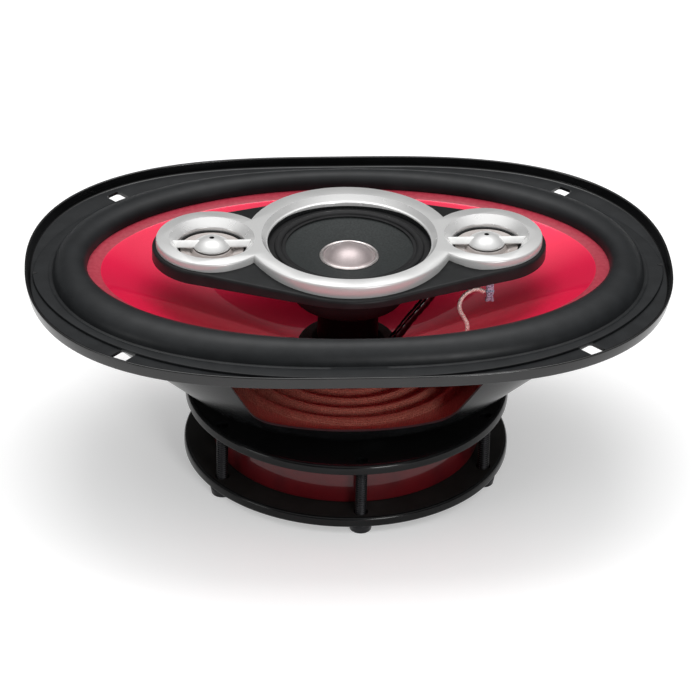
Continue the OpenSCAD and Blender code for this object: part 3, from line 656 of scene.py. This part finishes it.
def surround():
    """Landing glued to the flange, and the half roll down to the cone's edge."""
    turns = [pi * k / 18 for k in range(19)]

    def roll_ring(phi, depth):
        points = []
        for angle in ANGLES:
            r0, r1 = CONE_EDGE.radius(angle), OPENING.radius(angle)
            r = (r0 + r1) / 2 - ((r1 - r0) / 2 - depth) * cos(phi)
            foot = LANDING_Z + (CONE_EDGE_Z + 0.65 - LANDING_Z) * (1 + cos(phi)) / 2
            z = foot + (ROLL_TOP - LANDING_Z - 0.75 - depth) * sin(phi) ** 0.92
            points.append((r * cos(angle), r * sin(angle), z))
        return np.array(points)

    rings = [roll_ring(phi, 0.0) for phi in turns]
    rings += rounded([
        (OPENING.ring(0.9, LANDING_Z - 0.35), 0.3), (OPENING.ring(1.7, LANDING_Z - 0.05), 0.3),
        (LANDING.ring(0, LANDING_Z), 0.35), (LANDING.ring(0, SHEET + 0.01), 0.1),
        (OPENING.ring(-0.8, SHEET + 0.01), 0.1)], closed=False)
    rings += [roll_ring(phi, 0.75) for phi in reversed(turns[1:])]
    rings += [CONE_EDGE.ring(1.8, CONE_EDGE_Z + 0.05), CONE_EDGE.ring(0, CONE_EDGE_Z + 0.05)]
    piece = swept("surround", rings, RUBBER, 42)
    for side in (-1, 1):
        x = side * (landing_high[0] - 0.1)
        nib = [np.array([(x, 1.1 * side, z), (x - side * 1.9, 0, z), (x, -1.1 * side, z)])
               for z in (SHEET + 0.02, LANDING_Z + 0.12)]
        fit(slab(f"landing_nib_{side}", nib, MATT, 30), "frame", "surround", "surround")

    def share(p):
        angle = atan2(p.y, p.x)
        r0, r1 = CONE_EDGE.radius(angle) + 1.9, OPENING.radius(angle) - 0.5
        return 1 - ease((hypot(p.x, p.y) - r0) / (r1 - r0))

    flex(piece, "cone_assembly", "surround", share, "surround")


def cone_height(s):
    return NECK_Z + (CONE_EDGE_Z - 0.7 - NECK_Z) * s ** 1.12


def cone():
    floor_z = NECK_Z - 1.6

    def level(s, drop):
        points = []
        for angle in ANGLES:
            r = NECK_R + (CONE_BAND.radius(angle) - NECK_R) * s
            points.append((r * cos(angle), r * sin(angle), cone_height(s) - drop))
        return np.array(points)

    shares = [k / 28 for k in range(29)]
    neck = [circle(13.0, floor_z - 0.6), circle(13.0, floor_z)]
    top = [(level(s, 0), 0) for s in shares]
    top[-1] = (top[-1][0], 0.5)
    edge = [(CONE_RIM.ring(0, CONE_EDGE_Z), 0.2), (CONE_RIM.ring(0, CONE_EDGE_Z - 0.6), 0.2)]
    bottom = [level(s, 0.6) for s in reversed(shares)]
    rings = neck + rounded(top + edge, closed=False) + bottom
    piece = swept("cone", rings, RED, 50)
    piece.data.materials.append(RED_BAND_PAINTED_REFLECTION)
    # The band's faces get the duller red: painted reflection off the flat lip.
    for face in piece.data.polygons:
        x, y, z = face.center / MM
        if hypot(x, y) > CONE_BAND.radius(atan2(y, x)) and z > CONE_EDGE_Z - 1.2:
            face.material_index = 1
    bore = [(0, -40, 0), (1.5, -40, 0), (1.5, 20, 0), (0, 20, 0)]
    cutters = [lathe(f"eyelet_cutter_{i}", bore, RED, 32, x, y) for i, (x, y) in enumerate(EYELETS)]
    fit(cut(piece, cutters, 50), "cone_assembly", "cone", "cone")
    for i, (x, y) in enumerate(EYELETS):
        s = (hypot(x, y) - NECK_R) / (CONE_BAND.radius(atan2(y, x)) - NECK_R)
        z = cone_height(s)
        ring = lathe(f"lead_eyelet_{i}", [
            (0.75, z - 2, 0.1), (1.4, z - 2, 0.1), (1.4, z + 0.35, 0.1), (2.9, z + 0.35, 0.2),
            (2.9, z + 0.8, 0.3), (0.75, z + 0.9, 0.3)], MATT, 40, x, y)
        fit(ring, "cone_assembly", "lead_eyelets", "lead_eyelets")
        glue = [(0, z - 0.3, 0), (3.4, z - 0.3, 0), (3.1, z + 0.5, 0.3), (1.6, z + 1.15, 0.4),
                (0, z + 1.3, 0)]
        blob = lathe(f"eyelet_glue_{i}", glue, POST, 40, x + (0.6 if x > 20 else 0), y)
        fit(blob, "cone_assembly", "lead_eyelets", "lead_eyelets")


def spider():
    r0, r1, r2, r3 = 13.0, 14.25, 42.15, 49.3
    z = PLATEAU_Z + 0.41

    def wave(r):
        """Rolls 6.8 mm apart; the last one stands on the plateau and ends in the flat, glued edge."""
        if r < r1 or r > 47.2:
            return 0
        if r > 43.9:
            return 1.5 * cos(pi / 2 * (r - 43.9) / 3.3)
        return 1.5 * min((r - r1) / 2, 1) * cos(2 * pi * (r - 43.9) / 6.8)

    def edge(height):
        """The cloth's outline fills the plateau, but for a notch at the terminal tab."""
        points = []
        for angle in ANGLES:
            r = min(wall_r(angle, PLATEAU_Z) - WALL_T - 0.15, 57.5)
            if sin(angle) > 0 and abs(r * cos(angle)) < 9.2:
                r = r3
            points.append((r * cos(angle), r * sin(angle), height))
        return np.array(points)

    radii = [r0] + list(np.linspace(r1, 47.3, 171)) + [r3 - 0.5]
    rings = [circle(r, z + wave(r) + 0.2) for r in radii] + [edge(z + 0.2), edge(z - 0.35)]
    rings += [circle(r, z + wave(r) - 0.4) for r in reversed(radii)]
    piece = swept("spider", rings, CLOTH, 50)
    flex(piece, "cone_assembly", "spider", lambda p: 1 - ease((hypot(p.x, p.y) - r1) / (r2 - r1)), "spider")


def neck_ring():
    z = NECK_Z
    fit(lathe("dust_ring", [
        (13.0, z - 1.5, 0.1), (18.0, z + 0.08, 0.1), (18.5, z + 0.8, 0.4), (17.4, z + 2.4, 0.6),
        (13.55, z + 2.4, 0.5), (12.75, z + 0.6, 0.3), (12.75, z - 0.95, 0.05), (13.0, z - 0.95, 0.02)],
        FELT, 120), "cone_assembly", "dust_ring", "dust_ring")


# ---- motor ----


def screw_places():
    for k in range(6):
        angle = radians(FIRST_SCREW + 60 * k)
        yield k, SCREW_CIRCLE_R * cos(angle), SCREW_CIRCLE_R * sin(angle)


def holes(radius, low, high):
    bore = [(0, low, 0), (radius, low, 0), (radius, high, 0), (0, high, 0)]
    return [lathe(f"screw_hole_{k}", bore, PLATE, 36, x, y) for k, x, y in screw_places()]


def matt_face(piece, height, material):
    """The flat upper face of a plate gets its own finish."""
    piece.data.materials.append(material)
    for face in piece.data.polygons:
        if face.normal.z > 0.98 and face.center.z > (height - 0.3) * MM:
            face.material_index = len(piece.data.materials) - 1


def plates():
    low, high = PLATE_LOW[2], PLATE_TOP
    top = lathe("top_plate", [
        (14, low, 0.2), (PLATE_R, low, 0.8), (PLATE_R, high, 2.2), (14, high, 0.2)], PLATE, 256, n=12)
    cut(top, holes(2.25, low - 1, high + 1), 40)
    matt_face(top, high, PLATE_FACE)
    fit(top, "frame", "top_plate", "top_plate")
    low, high = BACK_LOW[2], BACK_HIGH[2]
    r = BACK_HIGH[0]
    back = lathe("back_plate", [
        (3.2, low + 2.2, 0.2), (6.2, low + 2.2, 0.2), (6.2, low, 0.3), (r, low, 0.75), (r, high, 1.6),
        (3.2, high, 0.2)], PLATE, 256, n=10)
    cut(back, holes(2.6, low - 1, high + 1), 40)
    matt_face(back, high, PLATE_INNER)
    fit(back, "frame", "back_plate", "back_plate")


def sleeve():
    """Moulded boot round the magnet, straight below and drawn in towards its upper edge."""
    low, high = SLEEVE_LOW[2], SLEEVE_HIGH[2]
    r = SLEEVE_HIGH[0]
    outer = [(r, low, 0.5), (r, high - 8.5, 0)]
    outer += [(r - 1.0 * t ** 2, high - 8.5 + 8.0 * t, 0) for t in np.linspace(0.1, 1, 12)]
    fit(lathe("magnet_sleeve", [(r - 1.2, low, 0.2)] + outer + [(r - 1.15, high, 0.1)], SLEEVE, 256),
        "frame", "magnet_sleeve", "magnet_sleeve")


def screws():
    """Pan-headed screws with a cross recess and a real helical thread."""
    foot, head_top = BACK_LOW[2] - 3.3, BACK_LOW[2]
    thread_low, thread_high = BACK_LOW[2] - 0.4, PLATE_TOP - 1.4
    for k, x, y in screw_places():
        head = lathe(f"screw_head_{k}", [
            (0, foot, 0), (3.9, foot, 0.5), (4.15, foot + 1.6, 0.6), (4.4, foot + 2.5, 0.3),
            (4.4, head_top, 0.15), (0, head_top, 0)], BLACK_OXIDE, 64, x, y)
        arms = []
        for turn in (0, pi / 2):
            flat = ((-2.4, -0.5), (2.4, -0.5), (2.4, 0.5), (-2.4, 0.5))
            corners = [Matrix.Rotation(turn, 2) @ Vector(c) for c in flat]
            levels = [np.array([(x + c.x, y + c.y, h) for c in corners]) for h in (foot - 1, foot + 1.5)]
            arms.append(slab(f"recess_{k}_{turn:.0f}", levels, BLACK_OXIDE))
        cut(head, arms, 40)
        fit(head, "frame", "assembly_screws", "assembly_screws")
        pitch, sides, depth = 0.9, 20, 0.4
        rows = int((thread_high - thread_low) / pitch * 6)
        rings = []
        for row in range(rows + 1):
            z = thread_low + (thread_high - thread_low) * row / rows
            ring = []
            for s in range(sides):
                angle = 2 * pi * s / sides
                phase = (z / pitch - s / sides) % 1
                r = 2.2 - depth * abs(2 * phase - 1)
                ring.append((x + r * cos(angle), y + r * sin(angle), z))
            rings.append(np.array(ring))
        shank = make(f"screw_thread_{k}", *skin(rings, closed_section=False, caps=True), BLACK_OXIDE, 25)
        fit(shank, "frame", "assembly_screws", "assembly_screws")


def post():
    """Plastic post from the pole piece up to the midrange's can, with moulded steps."""
    low, high = span("centre_post")
    r, z0, z1 = high[0], low[2], high[2]
    fit(lathe("centre_post", [
        (3.05, z0, 0.1), (r, z0, 0.3), (r, z1 - 5, 0.4), (r - 0.7, z1 - 4.4, 0.3), (r - 0.7, z1 - 1.6, 0.3),
        (r, z1 - 1.0, 0.3), (r, z1, 0.1), (0, z1, 0), (0, z0 + 9, 0), (3.05, z0 + 9, 0.1)], POST, 120),
        "frame", "centre_post", "centre_post")


# ---- pod ----


def arc(x, r, start, stop, n):
    return [(x + r * cos(start + (stop - start) * k / n), r * sin(start + (stop - start) * k / n))
            for k in range(n + 1)]


def housing_outline(inset):
    big, small, x = HOUSING_HIGH[1] - inset, 22.0 - inset, HOUSING_HIGH[0] - 22.0
    a = acos((big - small) / x)
    return (arc(x, small, -a, a, 44) + arc(0, big, a, pi - a, 24)[1:]
            + arc(-x, small, pi - a, pi + a, 44)[1:] + arc(0, big, pi + a, 2 * pi - a, 24)[1:-1])


def trim_outline(inset):
    big, small, x = MID_RING - inset, TWEETER_RING - inset, TWEETER_X
    a = acos((x * x + big * big - small * small) / (2 * x * big))
    b = pi - acos((x * x + small * small - big * big) / (2 * x * small))
    return (arc(x, small, -b, b, 64) + arc(0, big, a, pi - a, 64)[1:]
            + arc(-x, small, pi - b, pi + b, 64)[1:] + arc(0, big, pi + a, 2 * pi - a, 64)[1:-1])


def at_height(outline, z):
    return np.array([(x, y, z) for x, y in outline])


def housing():
    """The pod's body. Its top stands 1.1 mm above the CAD's and falls away towards the long sides."""
    low, high = HOUSING_LOW[2], HOUSING_HIGH[2] + 1.1
    levels = [at_height(housing_outline(i), z) for i, z in (
        (12, low), (6, low + 0.4), (0.9, low + 0.85), (0.25, low + 0.95), (0, low + 1.2),
        (0, high - 1.1), (0.08, high - 0.65), (0.3, high - 0.25), (0.6, high - 0.06), (1.0, high))]
    piece = slab("pod_housing", levels, HOUSING, 40)
    cutters = [lathe("mid_pocket", [
        (0, low - 1, 0), (20.6, low - 1, 0), (20.6, low + 1.2, 0), (27.4, low + 1.2, 0), (27.4, high - 2, 0),
        (29.9, high - 2, 0), (29.9, high + 3, 0), (0, high + 3, 0)], MATT, 128)]
    for x in (-TWEETER_X, TWEETER_X):
        cutters.append(lathe("tweeter_pocket", [
            (0, low + 1.2, 0), (14, low + 1.2, 0), (14, high + 3, 0), (0, high + 3, 0)], MATT, 96, x))
    cut(piece, cutters, 40)
    for vertex in piece.data.vertices:
        if vertex.co.z > (high - 1.3) * MM:
            vertex.co.z -= 0.11 * max(abs(vertex.co.y) - 21.5 * MM, 0)
    fit(piece, "frame", "pod_housing", "pod_housing")


def trim():
    """The silver trim. Its outer wall reaches 1.4 mm below the CAD's, down to the sloped housing."""
    low, high = TRIM_LOW[2], TRIM_HIGH[2]
    levels = [at_height(trim_outline(i), z) for i, z in (
        (0.15, low - 1.4), (0, low - 1.2), (0, high - 0.8), (0.06, high - 0.45), (0.22, high - 0.16),
        (0.5, high))]
    piece = slab("pod_trim", levels, SILVER, 38)
    cutters = [lathe("mid_mouth", [
        (0, low - 4, 0), (29.9, low - 4, 0), (29.9, high - 2.4, 0.3), (30.5, high - 2.1, 0.3),
        (32.1, high, 0.35), (32.9, high + 1, 0), (0, high + 1, 0)], SILVER, 256)]
    for x in (-TWEETER_X, TWEETER_X):
        cutters.append(lathe("tweeter_mouth", [
            (0, low - 4, 0), (12.8, low - 4, 0), (12.8, high - 2.9, 0.3), (15.6, high, 0.35),
            (16.4, high + 1, 0), (0, high + 1, 0)], SILVER, 192, x))
    cut(piece, cutters, 38)
    piece.data.materials.append(POLISHED)
    for face in piece.data.polygons:
        x, y, _ = face.center / MM
        inside = hypot(x, y) < 33 or hypot(abs(x) - TWEETER_X, y) < 16.5
        if inside and face.normal.z < 0.9:
            face.material_index = 1
    fit(piece, "frame", "pod_trim", "pod_trim")
    for x, side in ((-TWEETER_X, "left"), (TWEETER_X, "right")):
        section = [(0.35, 1.15, 14.3), (1.9, 2.9, 12.95), (1.5, 3.5, 12.6), (-1.5, 3.5, 12.6),
                   (-1.9, 2.9, 12.95), (-0.35, 1.15, 14.3)]
        ends = [np.array([(x + way * reach, y, high - drop) for y, drop, reach in section])
                for way in (-1, 1)]
        # The bars' near white is painted highlight on the trim's silver.
        bar = eased(slab(f"tweeter_bar_{side}", ends, BAR_PAINTED_HIGHLIGHT), 0.12)
        fit(bar, "frame", "pod_trim", "pod_trim")
        ball, z = 9.6, high - 9.6
        dome = [(ball * sin(t), z + ball * cos(t), 0) for t in np.linspace(radians(5.5), radians(45), 18)]
        dome += [(6.95, z + 6.4, 0.2), (6.55, z + 6.0, 0.3), (5.6, z + 6.3, 0.3)]
        dome += [((ball - 1) * sin(t), z + (ball - 1) * cos(t), 0)
                 for t in np.linspace(radians(38), radians(6.2), 12)]
        fit(lathe(f"phase_dome_{side}", dome, SILVER, 128, x), "frame", "pod_trim", "pod_trim")
        # A black cup lining the phase dome's hole: painted shade for the hole's dark depth.
        hole_shade_cup = [(0, high - 0.75, 0), (0.86, high - 0.75, 0), (0.86, high - 0.1, 0), (1.05, high - 0.1, 0),
                  (1.05, high - 0.9, 0), (0, high - 0.9, 0)]
        fit(lathe(f"phase_hole_painted_shade_{side}", hole_shade_cup, MATT, 48, x), "frame", "pod_trim", "pod_trim")


def midrange():
    low, high = span("midrange_can")
    r, z0, z1 = high[0], low[2], high[2]
    fit(lathe("midrange_can", [
        (0, z0, 0), (r - 0.6, z0, 1.2), (r, z0 + 2.2, 1.0), (r, z1 - 1.4, 0.3), (r + 0.6, z1 - 1.2, 0.2),
        (r + 0.6, z1, 0.2), (r - 1.2, z1, 0.2), (r - 1.2, z0 + 1.4, 0.6), (0, z0 + 1.4, 0)], MATT, 120),
        "frame", "midrange_can", "midrange_can")
    coned = [(9.9, 7.7, 0.1), (10.9, 7.7, 0.4)]
    for k in range(1, 11):
        t = k / 10
        coned.append((10.9 + 13.7 * t, 7.7 + 3.25 * t ** 1.45, 0))
    under = [(r, z - 0.5, 0) for r, z, _ in reversed(coned)]
    fit(lathe("midrange_cone", coned + under, PAPER, 160), "midrange_assembly", "midrange_cone",
        "midrange_cone")
    base = 11.37
    roll = [(26 - 1.45 * cos(t), base + 0.9 * sin(t), 0) for t in np.linspace(0, pi, 17)]
    back = [(26 - 1.1 * cos(t), base + 0.55 * sin(t), 0) for t in np.linspace(pi, 0, 17)]
    section = [(23.4, base, 0.12)] + roll + [
        (29.4, base, 0.15), (29.4, base - 0.35, 0), (27.1, base - 0.35, 0)] + back + [
        (24.9, base - 0.35, 0), (23.4, base - 0.35, 0)]
    ring = lathe("midrange_surround", section, MID_RUBBER, 200)
    flex(ring, "midrange_assembly", "midrange_surround",
         lambda p: 1 - ease((hypot(p.x, p.y) - 24.5) / 3), "midrange_surround")
    r_base, rise = 9.1, 4.0
    ball = (r_base ** 2 + rise ** 2) / (2 * rise)
    top = 8.05 + rise - ball
    edge = np.arcsin(r_base / ball)
    cap = [(ball * sin(t), top + ball * cos(t), 0) for t in np.linspace(0, edge, 22)]
    inside = [((ball - 0.3) * sin(t), top + (ball - 0.3) * cos(t), 0) for t in np.linspace(edge, 0, 22)]
    rim = [(9.35, 7.95, 0.1), (9.7, 8.35, 0.15), (10.3, 8.5, 0.2), (10.9, 7.95, 0.2), (10.9, 7.75, 0),
           (8.8, 7.75, 0)]
    dome = lathe("midrange_dome", cap + rim + inside, DOME, 144)
    dome.data.materials.append(DOME_RIM)
    for face in dome.data.polygons:
        if hypot(face.center.x, face.center.y) > 9.5 * MM:
            face.material_index = 1
    fit(dome, "midrange_assembly", "midrange_dome", "midrange_dome")


def tweeters():
    for side, x in (("left", -TWEETER_X), ("right", TWEETER_X)):
        z = 10.7
        plate = [(0, z + 1.15, 0)]
        for k in range(1, 9):
            t = k / 8
            plate.append((5.8 * t, z + 1.15 - 1.25 * t ** 2, 0))
        plate += [(6.35, z + 0.1, 0), (6.6, z + 1.3, 0), (6.9, z + 1.5, 0), (7.2, z + 1.3, 0)]
        for k in range(1, 11):
            t = k / 10
            plate.append((7.3 + 4.3 * t, z - 0.1 + 1.05 * sin(pi / 2 * t), 0))
        under = [(r, h - 0.2, 0) for r, h, _ in reversed(plate)]
        fit(lathe(f"tweeter_film_{side}", plate + under, FILM, 120, x), f"tweeter_{side}",
            f"tweeter_{side}_diaphragm", f"tweeter_{side}_diaphragm")


# ---- leads ----

POD_LEAD = [(47.9, -20.6, 3.6), (45.6, -21.2, 5), (43, -22, 4.9), (40.2, -23, 3.2), (38.8, -24.5, 1),
            (38.9, -26, -1.1), (40.1, -27.2, -3.1), (41.3, -28.4, -5.2), (41.4, -29.4, -7.2), (41, -30, -9.7)]
POD_WIRE = [(34, -8, 6.6), (32, -8, 0), (28.6, -8, -6), (23, -8, -13.5), (18.9, -8, -19.8),
            (16.2, -7.4, -24), (14.6, -7, -27.1)]
TINSEL = [(9, 33, -19.35), (9.1, 33.2, -22), (9.4, 35, -27), (9.6, 38.5, -30.5), (9.5, 42, -31.4),
          (9.2, 45.5, -30.2), (9, 48, -28.7), (9, 49.65, -28.5)]


def braid(run, angle):
    """Two sets of strands that cross."""
    return 1 + 0.16 * max(sin(3 * angle + 4.6 * run), sin(3 * angle - 4.6 * run))


def bulge(run, angle):
    """The slight unevenness of a plastic sleeve."""
    return 1 + 0.05 * sin(1.7 * run + 2 * angle)


def along(route):
    """Share of the way along a route, for the nearest route point."""
    points = [Vector(p) for p in route]

    def share(p):
        best = min(range(len(points)), key=lambda i: (points[i] - p).length)
        return best / (len(points) - 1)

    return share


def leads():
    lead = curve_through(POD_LEAD, 14)
    share = along(lead)
    flex(tube("pod_lead", lead, 0.7, BRAID, 24, braid), "cone_assembly", "pod_lead",
         lambda p: ease(share(p)), "pod_lead")
    for k, dy in enumerate((-1.5, 1.5)):
        route = curve_through([(x, y + dy, z) for x, y, z in POD_WIRE], 10)
        share_wire = along(route)
        flex(tube(f"pod_wire_{k}", route, 1.42, WIRE_SLEEVE, 20, bulge), "cone_assembly", "pod_wires",
             lambda p, s=share_wire: ease(s(p)), "pod_wires")
    for side, name in ((-1, "left"), (1, "right")):
        route = curve_through([(side * x, y, z) for x, y, z in TINSEL], 12)
        share_tinsel = along(route)
        flex(tube(f"tinsel_lead_{name}", route, 0.6, BRAID, 20, braid), "cone_assembly",
             f"tinsel_lead_{name}", lambda p, s=share_tinsel: 1 - ease(s(p)), f"tinsel_lead_{name}")


def pod_terminal():
    """Folded blade with two crimp wings round the lead."""
    low, high = span("pod_terminal")
    x, y = (low[0] + high[0]) / 2, (low[1] + high[1]) / 2
    rows = []
    for k in range(25):
        t = k / 24
        z = low[2] + (high[2] - low[2]) * t
        pinch = 1 - 0.22 * sin(pi * min(t / 0.55, 1)) ** 2 - (0.12 if t > 0.6 else 0)
        half_x, half_y = 1.6 * pinch, (1.2 if t < 0.6 else 0.7)
        ring = []
        for s in range(32):
            angle = 2 * pi * s / 32
            cx, cy = abs(cos(angle)) ** 0.55, abs(sin(angle)) ** 0.55
            groove = 1 - 0.3 * (abs(cos(angle)) < 0.2) * (t < 0.55)
            ring.append((x + half_x * (cx if cos(angle) > 0 else -cx),
                         y + half_y * groove * (cy if sin(angle) > 0 else -cy), z))
        rows.append(np.array(ring))
    piece = make("pod_terminal", *skin(rows, closed_section=False, caps=True), CRIMP, 30)
    fit(piece, "frame", "pod_terminal", "pod_terminal")


# ---- what stays CAD ----

FINISHES = {
    "basket_rivets": BLACK_OXIDE, "magnet": FERRITE, "pole_piece": STEEL, "post_bolt": STEEL,
    "voice_coil_former": AMBER, "voice_coil_winding": WINDING, "terminal_board": PHENOLIC,
    "terminal_rivets": TIN, "terminal_blade_positive": TIN,
    "terminal_blade_negative": TIN, "crossover_capacitor": CAP_SLEEVE,
    "midrange_yoke": STEEL, "midrange_magnet": STEEL, "midrange_pole_disc": STEEL, "midrange_coil": WINDING,
    "tweeter_left_motor": CERAMIC, "tweeter_right_motor": CERAMIC, "tweeter_left_clamp": MATT,
    "tweeter_right_clamp": MATT}


def finish_cad():
    for name, material in FINISHES.items():
        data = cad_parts[name].data
        for i in range(max(1, len(data.materials))):
            if len(data.materials) <= i:
                data.materials.append(material)
            else:
                data.materials[i] = material


# ---- stage ----


def camera():
    """The photograph's viewing angle: a long lens, 30.5 degrees above the flange's plane."""
    distance, height, turn, tilt = 1564.68, radians(30.459), radians(-3.851), radians(-1.15)
    target = Vector((1.0, 0, -32.29))
    forward = Vector((0, cos(height), -sin(height)))
    up = Vector((0, sin(height), cos(height)))
    right = Vector((1, 0, 0))
    place = target - forward * distance
    right, up = cos(tilt) * right - sin(tilt) * up, sin(tilt) * right + cos(tilt) * up
    spin = Matrix.Rotation(turn, 3, "Z")
    axes = Matrix((spin @ right, spin @ up, spin @ -forward)).transposed().to_4x4()
    data = bpy.data.cameras.new("camera")
    data.sensor_width = 36
    data.lens = 217.33
    data.clip_end = 30
    obj = bpy.data.objects.new("camera", data)
    bpy.context.scene.collection.objects.link(obj)
    obj.matrix_world = Matrix.Translation(spin @ place * MM) @ axes
    bpy.context.scene.camera = obj


def lamp(name, place, aim, size, power):
    data = bpy.data.lights.new(name, "AREA")
    data.shape = "RECTANGLE"
    data.size, data.size_y = size
    data.energy = power
    obj = bpy.data.objects.new(name, data)
    bpy.context.scene.collection.objects.link(obj)
    obj.location = place
    obj.rotation_euler = (Vector(aim) - Vector(place)).to_track_quat("-Z", "Y").to_euler()


def stage():
    floor_z = CAD_BOX[0][2] / MM
    reach = 6000
    corners = np.array([(x * reach, y * reach, floor_z) for x, y in ((-1, -1), (1, -1), (1, 1), (-1, 1))])
    pale = Paint("pale_floor", (0.76, 0.76, 0.76), 0.9, specular=0.1, emission_strength=0.33).material
    pale.node_tree.nodes["Principled BSDF"].inputs["Emission Color"].default_value = (1, 1, 1, 1)
    floor = make("floor", corners, [(0, 1, 2, 3)], pale)
    world = bpy.data.worlds.new("studio")
    world.use_nodes = True
    nodes, links = world.node_tree.nodes, world.node_tree.links
    height = nodes.new("ShaderNodeSeparateXYZ")
    links.new(nodes.new("ShaderNodeTexCoord").outputs["Generated"], height.inputs[0])
    sky = nodes.new("ShaderNodeValToRGB")
    sky.color_ramp.interpolation = "EASE"
    sky.color_ramp.elements[0].position = 0.45
    sky.color_ramp.elements[1].position = 0.9
    sky.color_ramp.elements[0].color = (0.06, 0.06, 0.06, 1)
    sky.color_ramp.elements[1].color = (1, 1, 1, 1)
    links.new(height.outputs["Z"], sky.inputs["Fac"])
    links.new(sky.outputs["Color"], nodes["Background"].inputs["Color"])
    nodes["Background"].inputs["Strength"].default_value = 1.35
    bpy.context.scene.world = world
    bpy.context.scene.view_settings.view_transform = "Standard"
    aim = (0, 0, -0.02)
    lamp("top_softbox", (0.0, 0.35, 1.25), aim, (1.0, 0.7), 8)
    lamp("left_window", (-1.08, -0.53, 0.26), aim, (0.4, 0.3), 1.8)
    lamp("front_window", (0.44, -1.1, 0.26), aim, (0.32, 0.3), 6)


camera()
basket()
surround()
cone()
spider()
neck_ring()
plates()
sleeve()
screws()
post()
housing()
trim()
midrange()
tweeters()
leads()
pod_terminal()
finish_cad()
stage()

bpy.context.view_layer.update()
